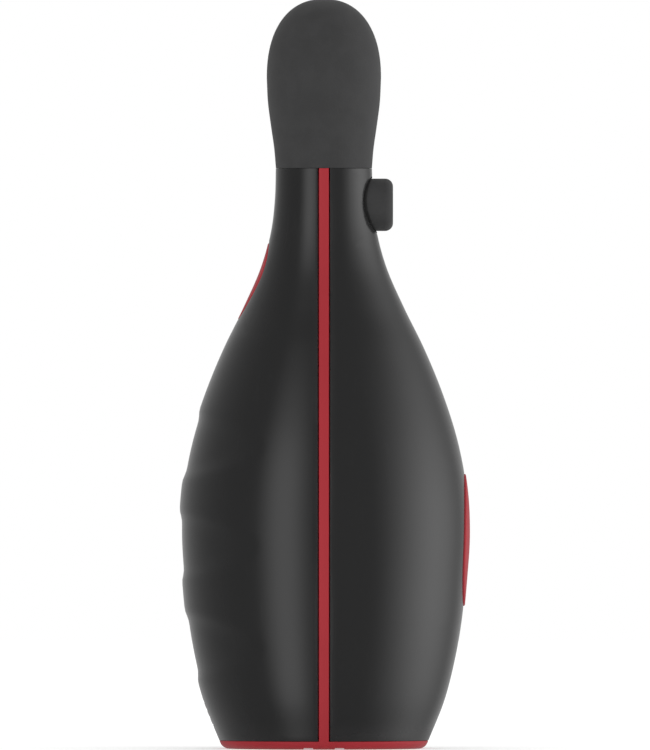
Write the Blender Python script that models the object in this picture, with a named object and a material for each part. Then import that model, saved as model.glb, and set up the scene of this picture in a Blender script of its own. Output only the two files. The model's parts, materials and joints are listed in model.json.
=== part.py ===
"""A cordless hand massager in the shape of a bowling pin, as its separate pieces.

It stands on its base, with the origin at the centre of the underside and +Z up.
-X is the front, with the finger grooves, and +X is the rear, with the thumb button.
Two black half shells close on a red frame, which is a base with a rib up each side.
A soft sleeve covers the head, where a motor spins an off-centre weight.
"""

from math import acos, atan, cos, pi, radians, sin, sqrt, tan

import bmesh
import bpy
from mathutils import Matrix, Vector

mm = 0.001

# Outside shape
body_height = 147.4 * mm  # from the floor to the seam under the head
belly_radius = 36.75 * mm
neck_radius = 12.2 * mm
head_height = 42.7 * mm  # from the seam to the top
head_radius = 14.5 * mm
head_widest = 22.6 * mm  # above the seam
dome_power = 2.27
# Percent of the body's height, and percent of the way out from neck to belly
body_outline = (
    (1.4, 58.3), (8, 74.3), (15, 85.3), (22, 92.7), (29, 96.9), (37, 99.8), (45, 97.4), (53, 88.4),
    (61, 73.2), (69, 53.4), (76, 32.7), (83, 14.5), (89, 4.9), (95, 0.8), (100, 0),
)
# Percent of the way up to the widest place, and percent of the way out from neck to head
head_outline = ((0, 0), (20, 16.6), (47, 54.1), (73, 86.9), (100, 100))

# Walls and clearances
wall = 2.2 * mm
sleeve_wall = 2.0 * mm
core_wall = 1.2 * mm
collar_wall = 1.5 * mm
gap = 0.3 * mm  # between any two pieces that meet
running_gap = 0.08 * mm  # round a turning shaft
overlap = 0.5 * mm  # how far the parts of one moulding run into each other
through = 2.0 * mm  # how far a cut runs past the surface that it opens
blind_depth = 2.0 * mm  # of a screw's hole beyond its tip

# Red frame
rim_height = 2.05 * mm
rim_corner = 2.4 * mm
base_thickness = 3.2 * mm
spigot_top = 4.5 * mm
spigot_wall = 1.2 * mm
rib_half_width = 1.27 * mm
rib_bevel = 0.2 * mm
foot_half_width = 2.6 * mm
foot_depth = 1.5 * mm
foot_gap = 0.4 * mm  # between the foot and the shells it hooks behind
base_groove_place = 3.94 * mm
base_groove_width = 2.4 * mm
base_groove_depth = 0.4 * mm

# Finger grooves and trims
groove_count = 3
first_groove = 26.1 * mm
groove_pitch = 25.4 * mm
groove_height = 14.8 * mm
groove_depth = 0.7 * mm
groove_reach = radians(65)
groove_ease = 0.35
badge_height, badge_half_width, badge_half_height = 52.9 * mm, 8.6 * mm, 16.75 * mm
badge_proud, badge_inset = 0.35 * mm, 0.85 * mm
inlay_drop, inlay_half_width, inlay_half_height = 28.9 * mm, 5.0 * mm, 9.7 * mm
inlay_proud, inlay_inset = 0.1 * mm, 0.8 * mm

# Head and motor
stem_radius, stem_bore = 6.2 * mm, 4.6 * mm
lip_height = 1.5 * mm
flange_height, flange_overhang = 1.0 * mm, 1.2 * mm
damper_wall = 0.7 * mm
core_floor_rise = 7.8 * mm  # underside of the motor cup above the seam
core_floor = 1.7 * mm
cup_top_rise = 25.6 * mm
cap_spigot = 1.5 * mm
motor_radius, motor_length = 7.5 * mm, 14.0 * mm
motor_wall = 0.8 * mm
end_cap_height, end_cap_step = 2.0 * mm, 0.2 * mm
can_end_wall = 1.0 * mm
mount_sleeve_wall = 0.8 * mm
shaft_radius, shaft_end = 1.0 * mm, 1.2 * mm
armature_gap, armature_end = 0.5 * mm, 1.2 * mm
bearing_radius, bearing_flange = 2.3 * mm, 3.4 * mm
weight_radius, weight_height, weight_hub = 7.6 * mm, 6.0 * mm, 2.6 * mm

# Button
button_drop = 9.5 * mm  # its axis below the seam
button_radius = 6.65 * mm
button_reach = 17.53 * mm  # its outer face from the pin's axis
button_corner = 2.0 * mm
button_side, button_front = 1.3 * mm, 1.8 * mm
button_hole_gap = 0.65 * mm
button_flange, button_flange_thickness = 1.45 * mm, 1.2 * mm
button_travel = 1.5 * mm
button_spare = 1.2 * mm  # left behind the flange when it is pressed
boss_wall = 1.7 * mm
seal_width, seal_thickness = 0.9 * mm, 0.8 * mm
post_radius = 2.0 * mm
switch_size, switch_depth, switch_floor = 8.0 * mm, 5.0 * mm, 0.8 * mm
plunger_radius = 1.6 * mm
spring_radius, spring_wire, spring_turns = 3.1 * mm, 0.3 * mm, 6
switch_board_half_width, switch_board_thickness = 7.0 * mm, 1.2 * mm
switch_board_below, switch_board_above = 9.3 * mm, 5.5 * mm
bracket_thickness, bracket_half_width = 1.6 * mm, 5.0 * mm
bracket_foot_height = 16.4 * mm
shelf_drop = 11.9 * mm  # the bracket's shelf under the button's axis

# Chassis, battery and boards
plate_front, plate_thickness = 3.0 * mm, 1.8 * mm
plate_bottom, plate_margin, plate_side = 9.0 * mm, 3.0 * mm, 4.0 * mm
battery_radius, battery_length, battery_bottom = 9.2 * mm, 65.2 * mm, 12.4 * mm
battery_edge, battery_nub, battery_nub_height = 0.6 * mm, 2.9 * mm, 1.6 * mm
contact_thickness, contact_half_depth, contact_side = 0.8 * mm, 5.5 * mm, 0.7 * mm
cradle_wall, cradle_end_half_width, cradle_end_reach = 1.5 * mm, 6.0 * mm, 5.0 * mm
lip_angle, lip_thickness, lip_length = radians(28), 1.2 * mm, 8.0 * mm
lip_from_bottom, lip_from_top = 14.0 * mm, 14.0 * mm
shell_post_radius, post_clearance = 3.2 * mm, 1.8 * mm
post_heights = (20.0 * mm, 72.0 * mm)
board_bottom, board_height, board_half_width = 22.0 * mm, 70.0 * mm, 14.0 * mm
board_thickness, standoff_length, standoff_radius = 1.6 * mm, 2.9 * mm, 2.5 * mm
board_screw_floor, bracket_boss = 1.0 * mm, 2.5 * mm
boss_radius, boss_reach = 3.2 * mm, 14.0 * mm
window_height, window_y, window_half = 86.0 * mm, -8.0 * mm, 2.5 * mm
connector_bottom, connector_size = 82.0 * mm, (5.0 * mm, 6.0 * mm, 5.0 * mm)
lead_radius, cable_radius = 0.5 * mm, 0.7 * mm

# Charging and indicator
contact_places = (10.0 * mm, 18.0 * mm)
contact_head, contact_pin, contact_top = 1.8 * mm, 1.0 * mm, 6.5 * mm
contact_recess, contact_head_height = 0.25 * mm, 0.9 * mm
magnet_radius, magnet_height, magnet_offset = 2.5 * mm, 3.0 * mm, 5.2 * mm
charge_board_half, charge_board_thickness = (8.0 * mm, 6.2 * mm), 1.2 * mm
led_count, first_led, led_pitch = 4, 5.9 * mm, 2.0 * mm
light_fin_half_width, light_fin_half_height = 3.4 * mm, 0.35 * mm
light_bar_depth, light_bar_half_width = 1.0 * mm, 4.0 * mm
light_bar_past, light_bar_gap, light_tip_inset = 0.9 * mm, 0.35 * mm, 0.15 * mm
led_size = (0.7 * mm, 1.6 * mm, 0.8 * mm)
indicator_board_thickness = 1.0 * mm
light_rib_thickness, light_rib_past, light_rib_drop = 1.3 * mm, 1.7 * mm, 2.0 * mm

# Screws: head radius, head height, shank radius, length under the head
small_screw = (2.2 * mm, 1.4 * mm, 1.0 * mm, 5.0 * mm)
long_screw = (2.5 * mm, 1.6 * mm, 1.25 * mm, 10.0 * mm)
base_screw_place = (13.5 * mm, 13.5 * mm)
screw_recess = 0.3 * mm
base_post_height, base_post_end = 7.0 * mm, 1.2 * mm
base_web_half, base_web_drop = 0.8 * mm, 1.0 * mm
driver_wall, driver_floor = 1.3 * mm, 3.5 * mm
badge_screw_spread = 11.8 * mm
board_screws = ((10.0 * mm, 27.0 * mm), (-10.0 * mm, 78.0 * mm))

# Fineness
half_steps = 14
round_steps = 20
small_steps = 12
post_steps = 16
fine_steps = 28

# Places worked out from the sizes above
seam = body_height
shell_bottom = rim_height + gap
shell_top = seam - gap
collar_radius = neck_radius - sleeve_wall - gap
collar_bore = collar_radius - collar_wall
lip_bore = stem_radius + 0.4 * mm
flange_radius = stem_radius + flange_overhang
damper_height = flange_height + 2 * gap + 2 * damper_wall
damper_bottom = shell_top + lip_height + gap
damper_top = damper_bottom + damper_height
collar_top = damper_top + gap + lip_height
core_bottom = seam + core_floor_rise
motor_base = core_bottom + core_floor + gap
cup_top = seam + cup_top_rise
mount_bore = motor_radius + gap
cup_bore = mount_bore + mount_sleeve_wall + gap
can_bottom = motor_base + end_cap_height + gap
can_top = can_bottom + motor_length
bearing_bottom = can_top - can_end_wall - 0.6 * mm
bearing_top = can_top + gap + 0.8 * mm
weight_bottom = bearing_top + 0.7 * mm
button_height = seam - button_drop
neck_inner = neck_radius - wall
seal_radius = button_radius + gap + seal_width
boss_face = sqrt((neck_inner - gap) ** 2 - seal_radius**2) + gap
flange_front = boss_face - 2 * gap - seal_thickness
flange_back = flange_front - button_flange_thickness
post_end = flange_back + 0.9 * mm
button_inner = button_reach - button_front
switch_face = flange_back - button_travel - button_spare
switch_back = switch_face - switch_depth
switch_board_face = switch_back - gap
bracket_face = switch_board_face - switch_board_thickness - gap
shelf_top = button_height - shelf_drop
plate_top = shelf_top - bracket_thickness - 3.9 * mm
plate_back = plate_front + plate_thickness
battery_x = plate_front - gap - battery_radius
battery_top = battery_bottom + battery_length
cradle_inside = battery_radius + gap
cradle_outside = cradle_inside + cradle_wall
post_y = cradle_outside + post_clearance + shell_post_radius
plate_half_width = post_y + plate_side
board_face = plate_back + standoff_length + gap
board_back = board_face + board_thickness
magnet_y = sum(contact_places) / 2
charge_board_bottom = contact_top + gap
indicator_top = first_led + (led_count - 1) * led_pitch + 2.3 * mm
indicator_bottom = spigot_top + gap
badge_screws = tuple(badge_height + side * badge_screw_spread for side in (-1, 1))
rear_post_start = boss_reach + gap
rear_screw_seat = rear_post_start + driver_floor + gap

# Colour, roughness and metallic value of each finish
finishes = {
    "red_plastic": ((0.392, 0.032, 0.042), 0.42, 0.0),
    "black_gloss": ((0.023, 0.023, 0.023), 0.16, 0.0),
    "soft_black": ((0.040, 0.040, 0.041), 0.72, 0.0),
    "dark_rubber": ((0.012, 0.012, 0.012), 0.80, 0.0),
    "grey_plastic": ((0.18, 0.18, 0.19), 0.55, 0.0),
    "white_plastic": ((0.72, 0.71, 0.68), 0.50, 0.0),
    "clear_plastic": ((0.80, 0.82, 0.84), 0.12, 0.0),
    "board_green": ((0.020, 0.130, 0.055), 0.45, 0.0),
    "chip_black": ((0.015, 0.015, 0.016), 0.50, 0.0),
    "battery_wrap": ((0.035, 0.16, 0.36), 0.35, 0.0),
    "steel": ((0.56, 0.57, 0.58), 0.30, 1.0),
    "dark_steel": ((0.20, 0.20, 0.21), 0.35, 1.0),
    "brass": ((0.72, 0.52, 0.20), 0.28, 1.0),
    "nickel": ((0.66, 0.64, 0.60), 0.25, 1.0),
    "copper": ((0.70, 0.35, 0.20), 0.35, 1.0),
    "red_lead": ((0.45, 0.020, 0.020), 0.50, 0.0),
    "black_lead": ((0.020, 0.020, 0.020), 0.50, 0.0),
}


def smooth_curve(knots):
    """A function through the knots, smooth at each of them and straight beyond the last ones."""
    places = [place for place, _ in knots]
    values = [value for _, value in knots]
    spans = [b - a for a, b in zip(places, places[1:])]
    rates = [(b - a) / span for a, b, span in zip(values, values[1:], spans)]
    inner = [
        (rates[i] * spans[i + 1] + rates[i + 1] * spans[i]) / (spans[i] + spans[i + 1])
        for i in range(len(spans) - 1)
    ]
    slopes = [rates[0], *inner, rates[-1]]

    def value_at(place):
        if place <= places[0]:
            return values[0] + slopes[0] * (place - places[0])
        if place >= places[-1]:
            return values[-1] + slopes[-1] * (place - places[-1])
        i = max(k for k in range(len(spans)) if places[k] <= place)
        t = (place - places[i]) / spans[i]
        start = (1 + 2 * t) * (1 - t) ** 2 * values[i] + t * (1 - t) ** 2 * spans[i] * slopes[i]
        end = t * t * (3 - 2 * t) * values[i + 1] + t * t * (t - 1) * spans[i] * slopes[i + 1]
        return start + end

    return value_at


body_fullness = smooth_curve(body_outline)
head_fullness = smooth_curve(head_outline)


def body_radius(height):
    share = body_fullness(100 * height / body_height) / 100
    return neck_radius + share * (belly_radius - neck_radius)


def inner_radius(height):
    return body_radius(height) - wall


# The charge lamps stand against the shell's inside, so their places follow its radius
light_bar_corner = sqrt(inner_radius(first_led - light_bar_past) ** 2 - light_bar_half_width**2)
light_bar_reach = light_bar_corner - light_bar_gap - light_bar_depth
led_face = light_bar_reach - gap
indicator_face = led_face - led_size[0] - gap
indicator_rear = indicator_board_thickness - indicator_face


def head_radius_at(height, inset=0.0):
    """The head's radius, or that of the same shape a certain distance inside it."""
    rise = height - seam
    if rise <= head_widest:
        share = head_fullness(100 * rise / head_widest) / 100
        return neck_radius + share * (head_radius - neck_radius) - inset
    share = min(1.0, (rise - head_widest) / (head_height - head_widest - inset))
    return (head_radius - inset) * (1 - share**dome_power) ** (1 / dome_power)


def head_outline_down(low, inset, steps=6):
    """The head's outline from its top down to a height, as (radius, height) pairs."""
    widest = seam + head_widest
    rise = head_height - head_widest - inset
    dome = [widest + rise * cos(radians(90 * i / steps)) for i in range(steps + 1)]
    below = [widest + (low - widest) * i / 4 for i in range(1, 5)] if low < widest else []
    heights = [height for height in dome if height > low] + (below or [low])
    return [(head_radius_at(height, inset), height) for height in heights]


def spaced(low, high, count):
    return [low + (high - low) * i / count for i in range(count + 1)]


# Meshes


def finish_mesh(mesh):
    bmesh.ops.recalc_face_normals(mesh, faces=mesh.faces)
    return mesh


def face(mesh, corners):
    """A face from its corners, leaving out a corner that repeats."""
    kept = [v for i, v in enumerate(corners) if v is not corners[i - 1]]
    if len(kept) > 2:
        mesh.faces.new(kept)


def turned(profile, segments=round_steps):
    """A solid turned about Z from (radius, height) pairs: a ring, or closed at the axis."""
    mesh = bmesh.new()
    rings = []
    for radius, height in profile:
        if radius < gap / 100:
            rings.append([mesh.verts.new((0, 0, height))] * segments)
        else:
            turns = [2 * pi * i / segments for i in range(segments)]
            rings.append([mesh.verts.new((radius * cos(a), radius * sin(a), height)) for a in turns])
    pairs = list(zip(rings, rings[1:]))
    if profile[0][0] > gap / 100:
        pairs.append((rings[-1], rings[0]))
    for low, high in pairs:
        for i in range(segments):
            k = (i + 1) % segments
            face(mesh, (low[i], low[k], high[k], high[i]))
    return finish_mesh(mesh)


def lofted(sections):
    """A solid through closed outlines of equal length, with a flat end on the first and last."""
    mesh = bmesh.new()
    loops = [[mesh.verts.new(point) for point in section] for section in sections]
    for low, high in zip(loops, loops[1:]):
        for i in range(len(low)):
            face(mesh, (low[i - 1], low[i], high[i], high[i - 1]))
    mesh.faces.new(loops[0])
    mesh.faces.new(loops[-1])
    return finish_mesh(mesh)


def box(low, high):
    corners = [(low[0], low[1]), (high[0], low[1]), (high[0], high[1]), (low[0], high[1])]
    return lofted([[(x, y, z) for x, y in corners] for z in (low[2], high[2])])


def plate_across(outline, low, high):
    """A flat plate square to X, from its (y, z) outline."""
    return lofted([[(x, y, z) for y, z in outline] for x in (low, high)])


def moved(mesh, matrix):
    mesh.transform(matrix)
    return mesh


def pointing(start, direction):
    """The transform that carries the origin to start, and +Z to the direction."""
    return Matrix.Translation(start) @ Vector(direction).to_track_quat("Z", "Y").to_matrix().to_4x4()


def rod(start, end, radius, segments=small_steps):
    """A round bar, turned a little so that none of its corners lies on another solid's edge."""
    start, end = Vector(start), Vector(end)
    turns = [2 * pi * (i + 0.2) / segments for i in range(segments)]
    circle = [(radius * cos(a), radius * sin(a)) for a in turns]
    mesh = lofted([[(x, y, z) for x, y in circle] for z in (0, (end - start).length)])
    return moved(mesh, pointing(start, end - start))


def turned_along_x(profile, height, segments=round_steps):
    """A turned solid whose axis lies along X at a height; the pairs are (radius, x)."""
    return moved(turned(profile, segments), pointing((0, 0, height), (1, 0, 0)))


def half_turned(profile, outer_count, side, relief=None):
    """A closed (radius, height) outline swept round one side, ending flat beside the rib.

    The first outer_count points are on the outside, where relief gives the depth cut away.
    """
    edge = rib_half_width + gap
    mesh = bmesh.new()
    rows = []
    for number, (radius, height) in enumerate(profile):
        reach = acos(edge / radius)
        row = []
        for step in range(half_steps + 1):
            angle = reach * (2 * step / half_steps - 1)
            cut_away = relief(height, angle) if relief and number < outer_count else 0.0
            out = radius - cut_away
            row.append(mesh.verts.new((side * out * cos(angle), out * sin(angle), height)))
        rows.append(row)
    for i in range(len(rows)):
        for step in range(half_steps):
            face(mesh, (rows[i - 1][step], rows[i - 1][step + 1], rows[i][step + 1], rows[i][step]))
    for step in (0, half_steps):
        mesh.faces.new([row[step] for row in rows])
    return finish_mesh(mesh)


def curved_plate(side, middle, half_width, half_height, outer, inner, rings=3, spokes=24):
    """An oval plate that follows the body, between two distances from its surface."""

    def point(share, angle, lift):
        y = share * half_width * cos(angle)
        z = middle + share * half_height * sin(angle)
        return (side * sqrt((body_radius(z) + lift) ** 2 - y * y), y, z)

    mesh = bmesh.new()
    angles = [2 * pi * i / spokes for i in range(spokes)]
    shares = [i / rings for i in range(1, rings + 1)]
    route = [(share, outer) for share in shares] + [(share, inner) for share in reversed(shares)]
    loops = [[mesh.verts.new(point(share, angle, lift)) for angle in angles] for share, lift in route]
    loops.insert(0, [mesh.verts.new(point(0, 0, outer))] * spokes)
    loops.append([mesh.verts.new(point(0, 0, inner))] * spokes)
    for low, high in zip(loops, loops[1:]):
        for i in range(spokes):
            face(mesh, (low[i - 1], low[i], high[i], high[i - 1]))
    return finish_mesh(mesh)


# Objects


def clear_scene():
    for obj in list(bpy.data.objects):
        bpy.data.objects.remove(obj)


def material_for(name, finish):
    colour, roughness, metallic = finishes[finish]
    material = bpy.data.materials.new(name)
    material.use_nodes = True
    shader = material.node_tree.nodes["Principled BSDF"]
    shader.inputs["Base Color"].default_value = (*colour, 1)
    shader.inputs["Roughness"].default_value = roughness
    shader.inputs["Metallic"].default_value = metallic
    material.diffuse_color = (*colour, 1)
    return material


def add_object(name, data, parent, origin):
    obj = bpy.data.objects.new(name, data)
    bpy.context.scene.collection.objects.link(obj)
    obj.location = Vector(origin) - (parent.location if parent else Vector())
    obj.parent = parent
    return obj


def add_piece(name, mesh, finish, parent, origin=(0, 0, 0)):
    """A named piece from a mesh in the pin's own frame, with its origin where it is given."""
    mesh.transform(Matrix.Translation(-Vector(origin)))
    data = bpy.data.meshes.new(name)
    mesh.to_mesh(data)
    mesh.free()
    data.shade_smooth()
    data.set_sharp_from_angle(angle=radians(35))
    data.materials.append(material_for(name, finish))
    return add_object(name, data, parent, origin)


def add_tool(mesh):
    """A hidden solid that cuts or extends a piece."""
    data = bpy.data.meshes.new("tool")
    mesh.to_mesh(data)
    mesh.free()
    tool = add_object("tool", data, None, (0, 0, 0))
    tool.hide_render = True
    tool.display_type = "WIRE"
    return tool


def combine(target, operation, tools):
    for tool in tools:
        modifier = target.modifiers.new(operation.lower(), "BOOLEAN")
        modifier.operation = operation
        modifier.object = tool if isinstance(tool, bpy.types.Object) else add_tool(tool)


def join(target, *tools):
    combine(target, "UNION", tools)


def cut(target, *tools):
    combine(target, "DIFFERENCE", tools)


def ending_in_wall(mesh, body_core):
    """A post or web that runs out into the shell's wall and stops half way through it."""
    tool = add_tool(mesh)
    combine(tool, "INTERSECT", [body_core])
    return tool


def add_lead(name, route, radius, finish, parent):
    """A lead along a smooth curve through the route's points."""
    numbered = [smooth_curve([(i, point[axis]) for i, point in enumerate(route)]) for axis in range(3)]
    places = spaced(0, len(route) - 1, 2 * (len(route) - 1))
    add_tube(name, [[along(place) for along in numbered] for place in places], radius, finish, parent)


def add_tube(name, points, radius, finish, parent, fineness=1):
    data = bpy.data.curves.new(name, "CURVE")
    data.dimensions = "3D"
    data.bevel_depth = radius
    data.bevel_resolution = fineness
    data.use_fill_caps = True
    line = data.splines.new("POLY")
    line.points.add(len(points) - 1)
    for knot, point in zip(line.points, points):
        knot.co = (*point, 1)
    data.materials.append(material_for(name, finish))
    return add_object(name, data, parent, (0, 0, 0))


def add_screw(name, size, place, direction, parent):
    """A round-headed screw: place is the middle of its head's outer face."""
    head, head_height, shank, length = size
    profile = [(0, 0), (head, 0), (head, head_height), (shank, head_height)]
    profile += [(shank, head_height + length), (0, head_height + length)]
    mesh = moved(turned(profile, small_steps), pointing(place, direction))
    return add_piece(name, mesh, "dark_steel", parent, place)


# The outside


def groove_cut(height, angle):
    """How deep the finger grooves are at a height and an angle from the front."""
    for number in range(groove_count):
        middle = first_groove + number * groove_pitch
        up = (height - middle) / (groove_height / 2)
        round_ = angle / groove_reach
        inside = min(1.0, (1 - up * up - round_ * round_) / groove_ease)
        if inside > 0:
            return groove_depth * inside * inside * (3 - 2 * inside)
    return 0.0


def shell_heights():
    """Heights of the shells' outer rows, closer together at the edges of the grooves."""
    heights = []
    for number in range(groove_count):
        middle = first_groove + number * groove_pitch
        heights += [middle + share * groove_height / 2 for share in (-1, -0.8, 0, 0.8, 1)]
    return sorted([*heights, *spaced(shell_bottom, heights[0] - 3 * mm, 2),
                   *spaced(heights[-1] + 6 * mm, shell_top, 9)])


def inner_heights():
    """Heights of the shells' inner rows, from the taper under the collar down."""
    return spaced(shell_top - (neck_inner - lip_bore), shell_bottom, 13)


def shell_profile():
    outer = [(body_radius(height), height) for height in shell_heights()]
    collar = [(collar_radius, shell_top), (collar_radius, collar_top), (lip_bore, collar_top)]
    lips = [
        (lip_bore, damper_top + gap),
        (collar_bore, damper_top + gap),
        (collar_bore, damper_bottom - gap),
        (lip_bore, damper_bottom - gap),
        (lip_bore, shell_top),
    ]
    inner = [(inner_radius(height), height) for height in inner_heights()]
    return outer + collar + lips + inner, len(outer)


def add_body_core():
    """The space inside the middle of the shells' wall, which posts and webs are kept to."""
    outline = [(body_radius(z) - wall / 2, z) for z in spaced(shell_bottom + gap, shell_top - gap, 18)]
    return add_tool(turned([(0, outline[0][1]), *outline, (0, outline[-1][1])], 2 * half_steps))


def post_with_web(side, sign):
    """The post of a base screw and the web that ties it to the wall, for one corner."""
    x, y = side * base_screw_place[0], sign * base_screw_place[1]
    low, high = base_thickness + gap, base_thickness + base_post_height
    out = Vector((x, y, 0))
    web_low = (0, -base_web_half, spigot_top + gap)
    web = box(web_low, (belly_radius, base_web_half, high - base_web_drop))
    turn = Matrix.Translation(out) @ out.to_track_quat("X", "Z").to_matrix().to_4x4()
    return rod((x, y, low), (x, y, high), shell_post_radius, post_steps), moved(web, turn)


def base_screw_hole(side, sign):
    x, y = side * base_screw_place[0], sign * base_screw_place[1]
    high = base_thickness + base_post_height - base_post_end
    return rod((x, y, 0), (x, y, high), small_screw[2] + gap)


def add_front_shell(parent, body_core):
    profile, outer_count = shell_profile()
    mesh = half_turned(profile, outer_count, -1, groove_cut)
    shell = add_piece("front_shell", mesh, "black_gloss", parent)
    chassis_places = [(sign * post_y, height) for sign, height in zip((-1, 1), post_heights)]
    for y, z in chassis_places:
        post = rod((plate_front - gap, y, z), (-belly_radius, y, z), shell_post_radius, post_steps)
        join(shell, ending_in_wall(post, body_core))
    for side in (-1, 1):
        edge = light_bar_half_width + gap
        ends = sorted((side * edge, side * (edge + light_rib_thickness)))
        rib_low = (-belly_radius, ends[0], spigot_top + gap)
        rib = box(rib_low, (indicator_rear + light_rib_past, ends[1], indicator_top - light_rib_drop))
        join(shell, ending_in_wall(rib, body_core))
    post, web = post_with_web(-1, -1)
    join(shell, post, ending_in_wall(web, body_core))
    cut(shell, base_screw_hole(-1, -1))
    for y, z in chassis_places:
        end = plate_front - long_screw[3] - blind_depth
        cut(shell, rod((plate_back, y, z), (end, y, z), long_screw[2] + gap))
    for number in range(led_count):
        z = first_led + number * led_pitch
        half_width, half_height = light_fin_half_width + gap, light_fin_half_height + gap
        slot_end = (-light_bar_reach, half_width, z + half_height)
        cut(shell, box((-belly_radius, -half_width, z - half_height), slot_end))
    lifts = (through, -inlay_inset - gap)
    cut(shell, curved_plate(-1, seam - inlay_drop, inlay_half_width + gap, inlay_half_height + gap, *lifts))


def add_rear_shell(parent, body_core):
    profile, outer_count = shell_profile()
    shell = add_piece("rear_shell", half_turned(profile, outer_count, 1), "black_gloss", parent)
    hole = button_radius + button_hole_gap
    middle = (0, 0, button_height)
    boss_start, far = (boss_face, 0, button_height), (belly_radius, 0, button_height)
    join(shell, ending_in_wall(rod(boss_start, far, hole + boss_wall, round_steps), body_core))
    driver_hole = long_screw[0] + 2 * gap
    for z in badge_screws:
        post_ends = (rear_post_start, 0, z), (belly_radius, 0, z)
        post = rod(*post_ends, driver_hole + driver_wall, post_steps)
        join(shell, ending_in_wall(post, body_core))
    post, web = post_with_web(1, 1)
    join(shell, post, ending_in_wall(web, body_core))
    cut(shell, base_screw_hole(1, 1))
    cut(shell, rod(middle, far, hole, fine_steps))
    for z in badge_screws:
        cut(shell, rod((plate_back, 0, z), (belly_radius, 0, z), long_screw[2] + gap))
        driver_start = (rear_post_start + driver_floor, 0, z)
        cut(shell, rod(driver_start, (belly_radius + through, 0, z), driver_hole, post_steps))
    lifts = (through, -badge_inset - gap)
    cut(shell, curved_plate(1, badge_height, badge_half_width + gap, badge_half_height + gap, *lifts))


def rib_section(height, side, points):
    return [(x, side * y, height) for x, y in points]


def rib_web(side):
    """The visible strip between the shells, with bevelled outer edges."""
    sections = []
    for height in spaced(rim_height / 2, shell_top, 22):
        out = sqrt(body_radius(height) ** 2 - rib_half_width**2)
        deep = rib_foot_outside(height) - overlap
        flat = rib_half_width - rib_bevel
        points = [(-rib_half_width, deep), (-rib_half_width, out - rib_bevel), (-flat, out),
                  (flat, out), (rib_half_width, out - rib_bevel), (rib_half_width, deep)]
        sections.append(rib_section(height, side, points))
    return lofted(sections)


def rib_foot_outside(height):
    return sqrt((inner_radius(height) - foot_gap) ** 2 - foot_half_width**2)


def rib_foot(side):
    """The wider foot that hooks behind both shells, up to the switch."""
    sections = []
    low, high = base_thickness - overlap, shelf_top - 2 * mm
    for height in [low, *(z for z in reversed(inner_heights()) if low < z < high)]:
        out = rib_foot_outside(height)
        deep = out - foot_depth
        half = foot_half_width
        points = [(-half, deep), (-half, out), (half, out), (half, deep)]
        sections.append(rib_section(height, side, points))
    return lofted(sections)


def base_profile():
    """The base's outline, with a rounded lower corner that runs into the body's slope."""
    slope = (body_radius(rim_height) - body_radius(0)) / rim_height
    lean = pi / 2 - atan(slope)
    corner = body_radius(0) - rim_corner * tan(lean / 2)
    turns = spaced(0, lean, 4)
    arc = [(corner + rim_corner * sin(a), rim_corner * (1 - cos(a))) for a in turns]
    spigot = inner_radius(shell_bottom) - gap
    return [
        (0, 0), *arc, (body_radius(rim_height), rim_height), (spigot, rim_height), (spigot, spigot_top),
        (spigot - spigot_wall, spigot_top), (spigot - spigot_wall, base_thickness), (0, base_thickness),
    ]


def add_mid_frame(parent):
    frame = add_piece("mid_frame", turned(base_profile(), 2 * half_steps), "red_plastic", parent)
    for side in (-1, 1):
        join(frame, rib_foot(side), rib_web(side))
    for side in (-1, 1):
        low = side * base_groove_place - base_groove_width / 2
        groove_end = (low + base_groove_width, belly_radius, base_groove_depth)
        cut(frame, box((low, -belly_radius, -through), groove_end))
        x, y = side * base_screw_place[0], side * base_screw_place[1]
        seat = screw_recess + small_screw[1] + gap
        cut(frame, rod((x, y, -through), (x, y, seat), small_screw[0] + gap, post_steps))
        cut(frame, rod((x, y, 0), (x, y, 2 * base_thickness), small_screw[2] + gap))
    for y in contact_places:
        seat = contact_recess + contact_head_height + gap
        cut(frame, rod((0, y, -through), (0, y, seat), contact_head + gap))
        cut(frame, rod((0, y, 0), (0, y, 2 * base_thickness), contact_pin + gap))


def add_trims(parent):
    lifts = (badge_proud, -badge_inset)
    badge = curved_plate(1, badge_height, badge_half_width, badge_half_height, *lifts)
    add_piece("rear_badge", badge, "red_plastic", parent, (body_radius(badge_height), 0, badge_height))
    middle = seam - inlay_drop
    inlay = curved_plate(-1, middle, inlay_half_width, inlay_half_height, inlay_proud, -inlay_inset)
    add_piece("neck_inlay", inlay, "red_plastic", parent, (-body_radius(middle), 0, middle))


# The head


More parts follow.
